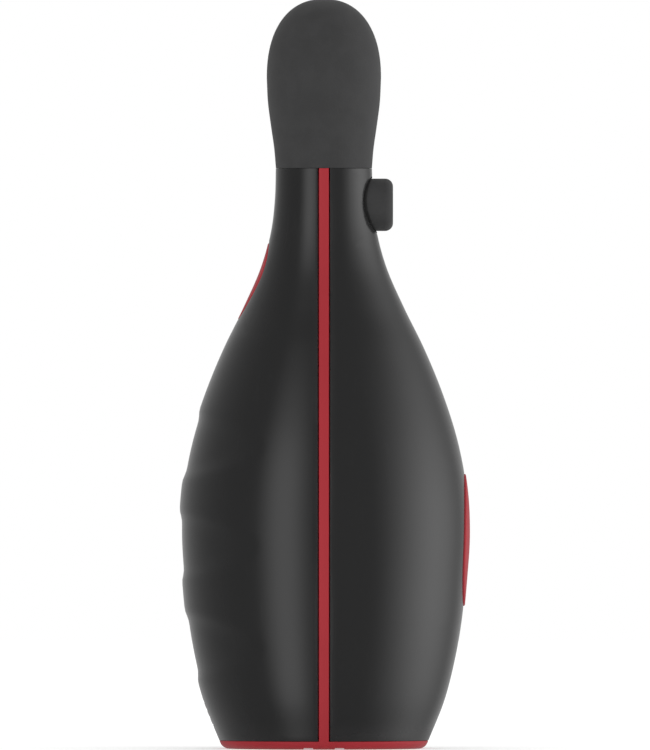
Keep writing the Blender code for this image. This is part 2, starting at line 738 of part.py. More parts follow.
def add_head(parent):
    outside, inside = head_outline_down(seam, 0), head_outline_down(seam, sleeve_wall)
    add_piece("head_sleeve", turned(outside + inside[::-1]), "soft_black", parent, (0, 0, seam))

    inset = sleeve_wall + gap
    flange_bottom = damper_bottom + damper_wall + gap
    cup = [(head_radius_at(z, inset), z) for z in spaced(core_bottom, cup_top, 4)]
    core = [
        (stem_bore, shell_top + 2 * gap), (stem_radius, shell_top + 2 * gap), (stem_radius, flange_bottom),
        (flange_radius, flange_bottom), (flange_radius, flange_bottom + flange_height),
        (stem_radius, flange_bottom + flange_height), (stem_radius, core_bottom), *cup,
        (cup_bore, cup_top), (cup_bore, core_bottom + core_floor), (stem_bore, core_bottom + core_floor),
    ]
    add_piece("head_core", turned(core), "grey_plastic", parent, (0, 0, core_bottom))

    spigot = cup_bore - gap
    outside = head_outline_down(cup_top + gap, inset)
    inside = head_outline_down(cup_top + 2 * gap + core_wall, inset + core_wall)
    cap = [*outside, (spigot, cup_top + gap), (spigot, cup_top - cap_spigot),
           (spigot - mount_sleeve_wall, cup_top - cap_spigot),
           (spigot - mount_sleeve_wall, cup_top + 2 * gap + core_wall), *inside[::-1]]
    add_piece("head_core_cap", turned(cap), "grey_plastic", parent, (0, 0, cup_top))

    damper_out, damper_in, slot = collar_bore - gap, stem_radius + gap, flange_radius + gap
    damper = [
        (damper_in, damper_bottom), (damper_out, damper_bottom),
        (damper_out, damper_top), (damper_in, damper_top),
        (damper_in, damper_top - damper_wall), (slot, damper_top - damper_wall),
        (slot, damper_bottom + damper_wall), (damper_in, damper_bottom + damper_wall),
    ]
    add_piece("neck_damper", turned(damper), "dark_rubber", parent, (0, 0, damper_bottom))


def ring(inner, outer, low, high):
    return [(inner, low), (outer, low), (outer, high), (inner, high)]


def add_motor(parent):
    shaft_hole = shaft_radius + running_gap
    cap = ring(shaft_hole, motor_radius - end_cap_step, motor_base, motor_base + end_cap_height)
    add_piece("motor_end_cap", turned(cap), "white_plastic", parent, (0, 0, motor_base))
    bore = motor_radius - motor_wall
    top_hole = bearing_radius + gap
    can = [(bore, can_bottom), (motor_radius, can_bottom), (motor_radius, can_top), (top_hole, can_top),
           (top_hole, can_top - can_end_wall), (bore, can_top - can_end_wall)]
    add_piece("motor_can", turned(can), "steel", parent, (0, 0, can_bottom))
    sleeve = ring(mount_bore, mount_bore + mount_sleeve_wall, motor_base, cup_top - cap_spigot - 2 * gap)
    add_piece("motor_sleeve", turned(sleeve), "dark_rubber", parent, (0, 0, motor_base))
    bearing = [
        (shaft_hole, bearing_bottom), (bearing_radius, bearing_bottom),
        (bearing_radius, can_top + gap), (bearing_flange, can_top + gap),
        (bearing_flange, bearing_top), (shaft_hole, bearing_top),
    ]
    add_piece("motor_bearing", turned(bearing), "brass", parent, (0, 0, can_top))


def add_rotor(parent):
    shaft_top = weight_bottom + weight_height + shaft_end
    shaft = rod((0, 0, motor_base + 2 * gap), (0, 0, shaft_top), shaft_radius, round_steps)
    add_piece("motor_shaft", shaft, "steel", parent, (0, 0, motor_base))
    low, high = can_bottom + armature_end, can_top - can_end_wall - armature_end
    armature = ring(shaft_radius + gap, motor_radius - motor_wall - armature_gap, low, high)
    add_piece("motor_armature", turned(armature), "copper", parent, (0, 0, can_bottom))
    half = [(weight_radius * cos(a), weight_radius * sin(a)) for a in spaced(0, pi, 14)]
    hub = [(weight_hub * cos(a), weight_hub * sin(a)) for a in spaced(pi, 2 * pi, 8)]
    outline = half + hub
    heights = (weight_bottom, weight_bottom + weight_height)
    weight = add_piece("eccentric_weight", lofted([[(x, y, z) for x, y in outline] for z in heights]),
                       "brass", parent, (0, 0, weight_bottom))
    cut(weight, rod((0, 0, can_top), (0, 0, shaft_top + through), shaft_radius + gap))


def add_motor_leads(parent):
    """Two leads from the motor, down past the switch and over the chassis to the board."""
    top = connector_bottom + connector_size[2] + gap
    behind = board_back + gap + connector_size[0] / 2
    start = core_bottom + core_floor - gap
    line = flange_back / mm  # the leads keep behind the button's flange
    routes = {
        "motor_lead_plus": [
            (-1.6, 1.6, start), (-1.7, 1.8, seam + 4.6 * mm), (-1.8, 2.6, seam + 0.6 * mm),
            (line - 5.4, 5.6, seam - 4.4 * mm), (line - 5.4, 6.1, seam - 10.4 * mm),
            (line - 5.0, 6.1, seam - 17.4 * mm),
            (0.5, 6.4, seam - 21.9 * mm), (5.5, 6.9, seam - 25.2 * mm), (9.0, 7.2, seam - 30.4 * mm),
            (behind / mm, 7.2, top + 19 * mm), (behind / mm, 7.2, top),
        ],
        "motor_lead_minus": [
            (1.6, 1.6, start), (1.5, 1.8, seam + 4.6 * mm), (1.2, 2.8, seam + 0.6 * mm),
            (line - 2.7, 6.0, seam - 4.4 * mm), (line - 3.0, 6.9, seam - 10.4 * mm),
            (line - 3.0, 7.1, seam - 17.4 * mm),
            (2.5, 7.6, seam - 21.4 * mm), (6.5, 8.4, seam - 23.9 * mm), (9.5, 8.3, seam - 29.4 * mm),
            (behind / mm, 9.0, top + 20 * mm), (behind / mm, 9.0, top),
        ],
    }
    finish = {"motor_lead_plus": "red_lead", "motor_lead_minus": "black_lead"}
    for name, route in routes.items():
        add_lead(name, [(x * mm, y * mm, z) for x, y, z in route], lead_radius, finish[name], parent)


# The button and its switch


def add_button(parent):
    """The cap and the switch's plunger, which slide together along the button's axis."""
    axis = (0, 0, button_height)
    turns = spaced(0, pi / 2, 3)
    side_start, face_start = button_radius - button_corner, button_reach - button_corner
    corner = [(side_start + button_corner * sin(a), face_start + button_corner * cos(a)) for a in turns]
    bore = button_radius - button_side
    rib_inside = rib_foot_outside(button_height) - overlap
    flange = min(button_radius + button_flange, rib_inside - gap)
    profile = [
        (0, button_reach), *corner, (button_radius, flange_front), (flange, flange_front),
        (flange, flange_back), (bore, flange_back), (bore, button_inner), (post_radius, button_inner),
        (post_radius, post_end), (0, post_end),
    ]
    add_piece("button_cap", turned_along_x(profile, button_height), "soft_black", parent, axis)
    low = switch_back + switch_floor + button_travel + gap
    plunger = rod((low, 0, button_height), (post_end - gap, 0, button_height), plunger_radius)
    add_piece("switch_plunger", plunger, "white_plastic", parent, axis)


def add_switch(parent):
    seal = ring(button_radius + gap, seal_radius, flange_front + gap, boss_face - gap)
    mesh = turned_along_x(seal, button_height)
    add_piece("button_seal", mesh, "dark_rubber", parent, (flange_front, 0, button_height))
    start, end = switch_face + gap + spring_wire, button_inner - gap - spring_wire
    steps = 10 * spring_turns
    points = []
    for i in range(steps + 1):
        angle = 2 * pi * spring_turns * i / steps
        points.append((start + (end - start) * i / steps, spring_radius * cos(angle),
                       button_height + spring_radius * sin(angle)))
    add_tube("button_spring", points, spring_wire, "steel", parent, fineness=0)

    half = switch_size / 2
    body = box((switch_back, -half, button_height - half), (switch_face, half, button_height + half))
    switch = add_piece("push_switch", body, "chip_black", parent, (switch_back, 0, button_height))
    bore_end = switch_back + switch_floor
    bore_start, bore_out = (bore_end, 0, button_height), (switch_face + through, 0, button_height)
    cut(switch, rod(bore_start, bore_out, plunger_radius + gap, post_steps))

    board_low = (bracket_face + gap, -switch_board_half_width, button_height - switch_board_below)
    board_high = (switch_board_face, switch_board_half_width, button_height + switch_board_above)
    mesh = box(board_low, board_high)
    add_piece("switch_board", mesh, "board_green", parent, (switch_board_face, 0, button_height))


def add_bracket(parent):
    """The bent plate that carries the switch above the chassis."""
    back = bracket_face - bracket_thickness
    shelf_bottom = shelf_top - bracket_thickness
    foot_bottom = shelf_bottom - bracket_foot_height
    foot_front, foot_back = plate_front - gap - 1.7 * mm, plate_front - gap
    half = bracket_half_width
    outline = [
        (back, shelf_bottom), (foot_front, shelf_bottom), (foot_front, foot_bottom), (foot_back, foot_bottom),
        (foot_back, shelf_top), (bracket_face, shelf_top),
        (bracket_face, button_height + switch_board_above), (back, button_height + switch_board_above),
    ]
    mesh = lofted([[(x, y, z) for x, z in outline] for y in (-half, half)])
    bracket = add_piece("switch_bracket", mesh, "grey_plastic", parent, (foot_back, 0, foot_bottom))
    hole_height = foot_bottom + 5 * mm
    cut(bracket, rod((0, 0, hole_height), (plate_back, 0, hole_height), small_screw[2] + gap))
    head_place = (foot_front - gap - small_screw[1], 0, hole_height)
    add_screw("bracket_screw", small_screw, head_place, (1, 0, 0), parent)
    return hole_height


def add_switch_cable(parent):
    top = connector_bottom + connector_size[2] + gap
    behind = board_back + gap + connector_size[0] / 2
    route = [
        (switch_board_face + gap, -5.6 * mm, button_height - 6.9 * mm),
        (switch_board_face + 1.4 * mm, -5.8 * mm, button_height - 7.3 * mm),
        (-2.3 * mm, -6.2 * mm, button_height - 9.6 * mm), (-1.4 * mm, -6.5 * mm, button_height - 11.8 * mm),
        (0.5 * mm, -6.8 * mm, button_height - 13.4 * mm),
        (5.5 * mm, -7.4 * mm, button_height - 15.6 * mm), (9.0 * mm, -7.8 * mm, button_height - 20.4 * mm),
        (behind, -8.0 * mm, top + 19 * mm), (behind, -8.0 * mm, top),
    ]
    add_lead("switch_cable", route, cable_radius, "black_lead", parent)


# The chassis, the battery and the boards


def add_chassis(parent, bracket_screw_height):
    heights = spaced(plate_bottom, plate_top, 10)
    halves = [min(plate_half_width, inner_radius(z) - plate_margin) for z in heights]
    right = list(zip(halves, heights))
    mesh = plate_across(right + [(-y, z) for y, z in reversed(right)], plate_front, plate_back)
    chassis = add_piece("chassis", mesh, "grey_plastic", parent, (plate_front, 0, plate_bottom))

    into_plate = plate_front + overlap
    front = battery_x - battery_radius * sin(lip_angle) - lip_thickness
    end_gap = contact_thickness + 2 * gap
    low, high = battery_bottom - end_gap, battery_top + end_gap
    lip_y = battery_radius * cos(lip_angle) + gap
    for side in (-1, 1):
        ends = sorted((side * cradle_inside, side * cradle_outside))
        join(chassis, box((front, ends[0], low), (into_plate, ends[1], high)))
        lip_ends = sorted((side * lip_y, side * (cradle_inside + overlap)))
        for z in (low + lip_from_bottom, high - lip_from_top - lip_length):
            lip_low = (front - overlap, lip_ends[0], z)
            join(chassis, box(lip_low, (front + lip_thickness, lip_ends[1], z + lip_length)))
    half = cradle_end_half_width
    for bottom, top in ((low - cradle_wall, low), (high, high + cradle_wall)):
        join(chassis, box((battery_x - cradle_end_reach, -half, bottom), (into_plate, half, top)))
    for z in badge_screws:
        join(chassis, rod((plate_back - overlap, 0, z), (boss_reach, 0, z), boss_radius, post_steps))
        hole_start = (rear_screw_seat - long_screw[3] - blind_depth, 0, z)
        cut(chassis, rod(hole_start, (boss_reach + through, 0, z), long_screw[2] + gap))
    for y, z in board_screws:
        join(chassis, rod((plate_back - overlap, y, z), (board_face - gap, y, z), standoff_radius))
        hole_start = (plate_front + board_screw_floor, y, z)
        cut(chassis, rod(hole_start, (board_face, y, z), small_screw[2] + gap))
    boss_end = plate_back + bracket_boss
    z = bracket_screw_height
    join(chassis, rod((plate_back - overlap, 0, z), (boss_end, 0, z), standoff_radius))
    before, behind = plate_front - through, boss_end + through
    cut(chassis, rod((before, 0, z), (behind, 0, z), small_screw[2] + gap))
    for sign, z in zip((-1, 1), post_heights):
        y = sign * post_y
        cut(chassis, rod((before, y, z), (behind, y, z), long_screw[2] + gap))
        add_screw(f"chassis_screw_{1 if sign < 0 else 2}", long_screw,
                  (plate_back + gap + long_screw[1], y, z), (-1, 0, 0), parent)
    window_low = (before, window_y - window_half, window_height - window_half)
    cut(chassis, box(window_low, (behind, window_y + window_half, window_height + window_half)))


def add_battery(parent):
    shoulder, can_end = battery_radius - battery_edge, battery_top - battery_nub_height
    cell = [
        (0, battery_bottom), (shoulder, battery_bottom), (battery_radius, battery_bottom + battery_edge),
        (battery_radius, can_end - battery_edge), (shoulder, can_end),
        (battery_nub, can_end), (battery_nub, battery_top), (0, battery_top),
    ]
    place = Vector((battery_x, 0, 0))
    mesh = moved(turned(cell), Matrix.Translation(place))
    add_piece("battery_cell", mesh, "battery_wrap", parent, (battery_x, 0, battery_bottom))
    reach, half = contact_half_depth, battery_radius - contact_side
    for name, low in (("battery_contact_minus", battery_bottom - gap - contact_thickness),
                      ("battery_contact_plus", battery_top + gap)):
        tab = box((battery_x - reach, -half, low), (battery_x + reach, half, low + contact_thickness))
        add_piece(name, tab, "nickel", parent, (battery_x, 0, low))
    plus_start = battery_top + 2 * gap + contact_thickness
    minus_start = battery_bottom - 2 * gap - contact_thickness
    lead_y = cradle_end_half_width + 1.3 * mm
    between = (plate_back + board_face) / 2
    plus = [
        (-4 * mm, -lead_y, plus_start), (-3.6 * mm, -lead_y, plus_start + 3 * mm),
        (0, window_y, window_height - 1 * mm), (plate_front + 1 * mm, window_y, window_height),
        (board_face - gap, window_y, window_height),
    ]
    minus = [
        (-4 * mm, lead_y, minus_start), (-3.8 * mm, lead_y, minus_start - 2.5 * mm),
        (-1.5 * mm, lead_y - 0.2 * mm, 6.4 * mm), (2.5 * mm, 6.6 * mm, 6.1 * mm),
        (5.4 * mm, 5.6 * mm, 7.8 * mm), (between, 4.6 * mm, 13 * mm),
        (between, 4.0 * mm, board_bottom + 1 * mm), (between + 0.5 * mm, 4.0 * mm, board_bottom + 3.6 * mm),
        (board_face - gap, 4.0 * mm, board_bottom + 4.6 * mm),
    ]
    add_lead("battery_lead_plus", plus, lead_radius, "red_lead", parent)
    add_lead("battery_lead_minus", minus, lead_radius, "black_lead", parent)


def add_main_board(parent):
    """The main board on the chassis's rear face, and what is soldered to it."""
    half, top = board_half_width, board_bottom + board_height
    mesh = box((board_face, -half, board_bottom), (board_back, half, top))
    board = add_piece("main_board", mesh, "board_green", parent, (board_face, 0, board_bottom))
    for z in badge_screws:
        cut(board, rod((plate_back, 0, z), (boss_reach, 0, z), boss_radius + gap, 16))
    for number, (y, z) in enumerate(board_screws, 1):
        cut(board, rod((plate_back, y, z), (boss_reach, y, z), small_screw[2] + gap))
        head = board_back + gap + small_screw[1]
        add_screw(f"board_screw_{number}", small_screw, (head, y, z), (-1, 0, 0), parent)

    def on_board(name, finish, size, y, bottom):
        depth, width, height = size
        low = (board_back + gap, y - width / 2, bottom)
        part = box(low, (low[0] + depth, y + width / 2, bottom + height))
        add_piece(name, part, finish, parent, (board_back, y, bottom))

    on_board("controller_chip", "chip_black", (1.2 * mm, 7 * mm, 7 * mm), 0, badge_height - 3.5 * mm)
    on_board("inductor", "chip_black", (3.0 * mm, 6 * mm, 6 * mm), -8.5 * mm, 34 * mm)
    on_board("motor_connector", "white_plastic", connector_size, 8.1 * mm, connector_bottom)
    on_board("switch_connector", "white_plastic", connector_size, -8.0 * mm, connector_bottom)
    foot = (board_back + gap, 9 * mm, 52 * mm)
    capacitor = rod(foot, (foot[0] + 6 * mm, foot[1], foot[2]), 2.5 * mm, 16)
    add_piece("capacitor", capacitor, "battery_wrap", parent, foot)


# Charging and the indicator


def add_charging(parent):
    """Two contacts in the underside, with the magnets that hold the charging lead to them."""
    for number, y in enumerate(contact_places, 1):
        head_top = contact_recess + contact_head_height
        pin = [(0, contact_recess), (contact_head, contact_recess), (contact_head, head_top),
               (contact_pin, head_top), (contact_pin, contact_top), (0, contact_top)]
        mesh = moved(turned(pin, 16), Matrix.Translation((0, y, 0)))
        add_piece(f"charge_contact_{number}", mesh, "brass", parent, (0, y, contact_recess))
    low = base_thickness + gap
    for number, side in enumerate((-1, 1), 1):
        x = side * magnet_offset
        mesh = rod((x, magnet_y, low), (x, magnet_y, low + magnet_height - gap), magnet_radius, 16)
        add_piece(f"charge_magnet_{number}", mesh, "nickel", parent, (x, magnet_y, low))
    half_x, half_y = charge_board_half
    high = charge_board_bottom + charge_board_thickness
    board = box((-half_x, magnet_y - half_y, charge_board_bottom), (half_x, magnet_y + half_y, high))
    add_piece("charge_board", board, "board_green", parent, (0, magnet_y, charge_board_bottom))
    between = (plate_back + board_face) / 2
    y = magnet_y - 2 * mm
    route = [
        (between, y, high + gap), (between, y, high + 5 * mm), (between, y, board_bottom - 2 * mm),
        (between + 0.3 * mm, y, board_bottom + 0.4 * mm), (board_face - gap, y, board_bottom + 1.2 * mm),
    ]
    add_lead("charge_cable", route, lead_radius, "black_lead", parent)


def add_indicator(parent):
    """Four lamps on a small board, and the comb that carries their light to the shell."""
    middle = first_led + (led_count - 1) * led_pitch / 2
    bar_half = (led_count - 1) * led_pitch / 2 + light_bar_past
    bar_front = light_bar_reach + light_bar_depth
    half = light_bar_half_width
    bar = box((-bar_front, -half, middle - bar_half), (-light_bar_reach, half, middle + bar_half))
    comb = add_piece("light_pipe", bar, "clear_plastic", parent, (-light_bar_reach, 0, middle))
    for number in range(led_count):
        z = first_led + number * led_pitch
        low_z, high_z = z - light_fin_half_height, z + light_fin_half_height
        tip = sqrt(body_radius(low_z) ** 2 - light_fin_half_width**2) - light_tip_inset
        root = light_bar_reach + light_bar_depth / 2
        join(comb, box((-tip, -light_fin_half_width, low_z), (-root, light_fin_half_width, high_z)))
        depth, width, height = led_size
        low = (-led_face, -width / 2, z - height / 2)
        led = box(low, (low[0] + depth, width / 2, z + height / 2))
        add_piece(f"charge_led_{number + 1}", led, "white_plastic", parent, (-led_face, 0, z))
    back = indicator_face - indicator_board_thickness
    board = box((-indicator_face, -half, indicator_bottom), (-back, half, indicator_top))
    add_piece("indicator_board", board, "board_green", parent, (-indicator_face, 0, middle))
    between = (plate_back + board_face) / 2
    route = [
        (gap - back, -1 * mm, 6.2 * mm), (-18 * mm, -2.5 * mm, 5.6 * mm), (-10 * mm, -6 * mm, 5.2 * mm),
        (0, -8 * mm, 5.2 * mm), (5.0 * mm, -8 * mm, 6.6 * mm), (between, -8 * mm, 12 * mm),
        (between, -8 * mm, board_bottom - 1 * mm), (between + 0.4 * mm, -8 * mm, board_bottom + 1.8 * mm),
        (board_face - gap, -8 * mm, board_bottom + 2.6 * mm),
    ]
    add_lead("indicator_cable", route, lead_radius, "black_lead", parent)


def add_outer_screws(parent):
    for number, z in enumerate(badge_screws, 1):
        place = (rear_screw_seat + long_screw[1], 0, z)
        add_screw(f"rear_screw_{number}", long_screw, place, (-1, 0, 0), parent)
    for number, side in enumerate((-1, 1), 1):
        place = (side * base_screw_place[0], side * base_screw_place[1], screw_recess)
        add_screw(f"base_screw_{number}", small_screw, place, (0, 0, 1), parent)


def main():
    clear_scene()
    pin = add_object("pin", None, None, (0, 0, 0))
    button = add_object("button", None, pin, (0, 0, button_height))
    rotor = add_object("rotor", None, pin, (0, 0, can_bottom))
    body_core = add_body_core()
    add_mid_frame(pin)
    add_front_shell(pin, body_core)
    add_rear_shell(pin, body_core)
    add_trims(pin)
    add_head(pin)
    add_motor(pin)
    add_rotor(rotor)
    add_motor_leads(pin)
    add_button(button)
    add_switch(pin)
    bracket_screw_height = add_bracket(pin)
    add_switch_cable(pin)
    add_chassis(pin, bracket_screw_height)
    add_battery(pin)
    add_main_board(pin)
    add_charging(pin)
    add_indicator(pin)
    add_outer_screws(pin)


main()
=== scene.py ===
import json
from math import acos, asin, cos, pi, radians, sin, sqrt

import bmesh
import bpy
from mathutils import Matrix, Vector


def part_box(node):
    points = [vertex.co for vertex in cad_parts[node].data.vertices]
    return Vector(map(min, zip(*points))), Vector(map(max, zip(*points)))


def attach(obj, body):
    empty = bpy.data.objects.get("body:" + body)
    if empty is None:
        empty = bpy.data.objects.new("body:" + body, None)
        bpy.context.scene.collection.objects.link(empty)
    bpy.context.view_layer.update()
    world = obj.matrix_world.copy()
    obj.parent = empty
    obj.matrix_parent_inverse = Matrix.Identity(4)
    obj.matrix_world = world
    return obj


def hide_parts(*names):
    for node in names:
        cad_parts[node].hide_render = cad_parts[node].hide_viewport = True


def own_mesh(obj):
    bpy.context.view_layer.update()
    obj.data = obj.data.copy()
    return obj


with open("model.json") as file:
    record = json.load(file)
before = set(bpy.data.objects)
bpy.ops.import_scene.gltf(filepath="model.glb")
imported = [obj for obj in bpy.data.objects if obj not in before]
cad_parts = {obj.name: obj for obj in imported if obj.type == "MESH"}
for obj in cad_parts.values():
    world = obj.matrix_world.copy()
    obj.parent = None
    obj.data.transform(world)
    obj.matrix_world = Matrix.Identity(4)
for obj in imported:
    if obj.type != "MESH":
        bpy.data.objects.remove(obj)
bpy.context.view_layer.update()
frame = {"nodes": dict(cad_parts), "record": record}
mm = 0.001


def lowOf(node):
    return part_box(node)[0]


def highOf(node):
    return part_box(node)[1]


def middleOf(node):
    return (lowOf(node) + highOf(node)) / 2


# ---- the pin's outline, which every outer piece follows

pinShape = {
    # percent of the way up to the seam, percent of the way out from neck to belly
    "bodyOutline": (
        (1.4, 58.3), (8, 74.3), (15, 85.3), (22, 92.7), (29, 96.9), (37, 99.8), (45, 97.4), (53, 88.4),
        (61, 73.2), (69, 53.4), (76, 32.7), (83, 14.5), (89, 4.9), (95, 0.8), (100, 0),
    ),
    # percent of the way up to the head's widest place, percent of the way out from neck to head
    "headOutline": ((0, 0), (20, 16.6), (47, 54.1), (73, 86.9), (100, 100)),
    "seam": lowOf("head_sleeve").z,
    "top": highOf("head_sleeve").z,
    "headRadius": highOf("head_sleeve").x,
    "neckRadius": 12.2 * mm,
    "bellyRadius": 36.75 * mm,
    "headWidest": 22.6 * mm,
    "domePower": 2.27,
    "gap": 0.3 * mm,
    "joint": 0.06 * mm,  # the hair line between the outer mouldings
}


def smoothThrough(knots):
    places = [place for place, _ in knots]
    values = [value for _, value in knots]
    spans = [b - a for a, b in zip(places, places[1:])]
    rates = [(b - a) / span for a, b, span in zip(values, values[1:], spans)]
    inner = [
        (rates[i] * spans[i + 1] + rates[i + 1] * spans[i]) / (spans[i] + spans[i + 1])
        for i in range(len(spans) - 1)
    ]
    slopes = [rates[0], *inner, rates[-1]]

    def valueAt(place):
        if place <= places[0]:
            return values[0] + slopes[0] * (place - places[0])
        if place >= places[-1]:
            return values[-1] + slopes[-1] * (place - places[-1])
        i = max(k for k in range(len(spans)) if places[k] <= place)
        t = (place - places[i]) / spans[i]
        start = (1 + 2 * t) * (1 - t) ** 2 * values[i] + t * (1 - t) ** 2 * spans[i] * slopes[i]
        return start + t * t * (3 - 2 * t) * values[i + 1] + t * t * (t - 1) * spans[i] * slopes[i + 1]

    return valueAt


bodyFullness = smoothThrough(pinShape["bodyOutline"])
headFullness = smoothThrough(pinShape["headOutline"])


def bodyRadius(height):
    share = bodyFullness(100 * height / pinShape["seam"]) / 100
    return pinShape["neckRadius"] + share * (pinShape["bellyRadius"] - pinShape["neckRadius"])


def headRadius(height, inset=0.0):
    rise, widest = height - pinShape["seam"], pinShape["headWidest"]
    if rise <= widest:
        share = headFullness(100 * rise / widest) / 100
        return pinShape["neckRadius"] + share * (pinShape["headRadius"] - pinShape["neckRadius"]) - inset
    share = min(1.0, (rise - widest) / (pinShape["top"] - pinShape["seam"] - widest - inset))
    power = pinShape["domePower"]
    return (pinShape["headRadius"] - inset) * (1 - share**power) ** (1 / power)


def evenly(low, high, count):
    return [low + (high - low) * i / count for i in range(count + 1)]


def stepped(low, high, step):
    return evenly(low, high, max(1, round((high - low) / step)))


# ---- materials: a socket that takes Python's operators, and a tree that makes any node


class Flow:
    def __init__(self, tree, socket):
        self.tree, self.socket = tree, socket

    def maths(self, operation, *others):
        return self.tree.node("ShaderNodeMath", {"operation": operation}, dict(enumerate((self, *others))))

    def __add__(self, other):
        return self.maths("ADD", other)

    def __sub__(self, other):
        return self.maths("SUBTRACT", other)

    def __mul__(self, other):
        return self.maths("MULTIPLY", other)

    def __truediv__(self, other):
        return self.maths("DIVIDE", other)

    def __pow__(self, other):
        return self.maths("POWER", other)

    def __rsub__(self, other):
        return self.tree.node("ShaderNodeMath", {"operation": "SUBTRACT"}, {0: other, 1: self})

    def __neg__(self):
        return self * -1.0

    __radd__, __rmul__ = __add__, __mul__

    def above(self, edge, soft):
        # 0 below the edge, 1 above it, with a smooth step between
        return self.tree.node(
            "ShaderNodeMapRange", {"interpolation_type": "SMOOTHSTEP"},
            {"Value": self, "From Min": edge - soft, "From Max": edge + soft},
        )

    def size(self):
        return self.maths("ABSOLUTE")

    def least(self, other):
        return self.maths("MINIMUM", other)

    def most(self, other):
        return self.maths("MAXIMUM", other)

    def between(self, low, high):
        # this value, clamped from 0 to 1, read as a place between two colours or two numbers
        if isinstance(low, (tuple, list)):
            sockets = {"Factor": self, 6: (*low, 1), 7: (*high, 1)}
            return self.tree.node("ShaderNodeMix", {"data_type": "RGBA"}, sockets, output=2)
        return self.tree.node("ShaderNodeMapRange", {}, {"Value": self, "To Min": low, "To Max": high})


class NodeTree:
    def __init__(self, tree):
        self.tree = tree
        tree.nodes.clear()

    def node(self, kind, settings=None, sockets=None, output=0):
        made = self.tree.nodes.new(kind)
        for name, value in (settings or {}).items():
            if name == "stops":
                self.setStops(made.color_ramp, value)
            else:
                setattr(made, name, value)
        for name, value in (sockets or {}).items():
            if isinstance(value, Flow):
                self.tree.links.new(value.socket, made.inputs[name])
            else:
                made.inputs[name].default_value = value
        if not made.outputs:
            return made
        return Flow(self, made.outputs[output])

    @staticmethod
    def setStops(ramp, stops):
        while len(ramp.elements) < len(stops):
            ramp.elements.new(1.0)
        for element, (place, value) in zip(ramp.elements, stops):
            element.position = place
            element.color = (value, value, value, 1)

    def place(self):
        return self.node("ShaderNodeTexCoord", output="Object")

    def axes(self, vector):
        split = self.node("ShaderNodeSeparateXYZ", sockets={"Vector": vector})
        return [Flow(self, split.socket.node.outputs[name]) for name in "XYZ"]

    def stretched(self, vector, scale):
        return self.node("ShaderNodeMapping", sockets={"Vector": vector, "Scale": scale})

    def noise(self, vector, size, detail=3.0, roughness=0.5):
        # size is the width of one blotch in metres
        sockets = {"Vector": vector, "Scale": 1 / size, "Detail": detail, "Roughness": roughness}
        return self.node("ShaderNodeTexNoise", {}, sockets)

    def grains(self, vector, size, feature="F1"):
        return self.node("ShaderNodeTexVoronoi", {"feature": feature}, {"Vector": vector, "Scale": 1 / size})

    def bump(self, height, depth, strength=1.0):
        return self.node("ShaderNodeBump", {}, {"Height": height, "Distance": depth, "Strength": strength})

    def surface(self, fixed, varying):
        shader = self.node("ShaderNodeBsdfPrincipled", {}, {**fixed, **varying})
        self.node("ShaderNodeOutputMaterial", {}, {"Surface": shader})


def newMaterial(name):
    material = bpy.data.materials.new(name)
    material.use_nodes = True
    return material, NodeTree(material.node_tree)


glossBlack = {
    "colour": (0.0176, 0.0176, 0.0178),
    "worn": (0.0225, 0.0225, 0.0228),
    "roughness": 0.15,
    "edgeRoughness": 0.30,
    "hazeSize": 21 * mm,
    "speckSize": 0.35 * mm,
    "scratchSize": 2.2 * mm,
    "scratchDepth": 0.0015 * mm,
    "rippleSize": 9 * mm,
    "rippleDepth": 0.004 * mm,
}


def makeGlossBlack():
    # a polished moulding: faint haze from handling, hair scratches up the sides, duller along the seams
    style = glossBlack
    material, tree = newMaterial("glossBlack")
    place = tree.place()
    x, y, z = tree.axes(place)
    haze = tree.noise(place, style["hazeSize"], 4.0)
    speck = tree.noise(place, style["speckSize"], 2.0)
    along = tree.stretched(place, (1.0, 1.0, 0.04))
    scratch = tree.noise(along, style["scratchSize"], 6.0, 0.7)
    scratched = scratch.above(0.62, 0.05)
    edge = 1.0 - x.size().above(2.6 * mm, 1.1 * mm)
    foot = 1.0 - z.above(5.0 * mm, 3.0 * mm)
    wear = (edge.most(foot) * haze.above(0.45, 0.2)).most(scratched * 0.25)
    ripple = tree.noise(place, style["rippleSize"], 1.0)
    roughness = style["roughness"] + haze * 0.05 + wear * (style["edgeRoughness"] - style["roughness"])
    smooth = tree.bump(ripple, style["rippleDepth"])
    scratchBump = tree.node("ShaderNodeBump", {}, {
        "Height": scratched + speck * 0.3, "Distance": style["scratchDepth"], "Strength": 1.0, "Normal": smooth,
    })
    tree.surface(
        {"IOR": 1.49, "Specular IOR Level": 0.5},
        {"Base Color": wear.between(style["colour"], style["worn"]), "Roughness": roughness,
         "Normal": scratchBump},
    )
    return material


softBlack = {
    "colour": (0.0318, 0.0318, 0.0322),
    "lint": (0.0410, 0.0410, 0.0415),
    "roughness": 0.66,
    "grainSize": 0.42 * mm,
    "grainDepth": 0.020 * mm,
    "mottleSize": 5.5 * mm,
    "sheen": 0.06,
}


def makeSoftBlack():
    # silicone with a fine skin, slightly mottled where dust clings
    style = softBlack
    material, tree = newMaterial("softBlack")
    place = tree.place()
    grain = tree.grains(place, style["grainSize"])
    fine = tree.noise(place, style["grainSize"] * 0.4, 2.0)
    mottle = tree.noise(place, style["mottleSize"], 5.0, 0.6)
    dust = (mottle.above(0.52, 0.16) * 0.6 + grain * 0.35 + fine * 0.2)
    roughness = style["roughness"] + mottle * 0.12 + fine * 0.06
    tree.surface(
        {"IOR": 1.43, "Sheen Weight": style["sheen"], "Sheen Roughness": 0.5},
        {"Base Color": dust.between(style["colour"], style["lint"]), "Roughness": roughness,
         "Normal": tree.bump(grain * 0.7 + fine * 0.5, style["grainDepth"], 0.55)},
    )
    return material


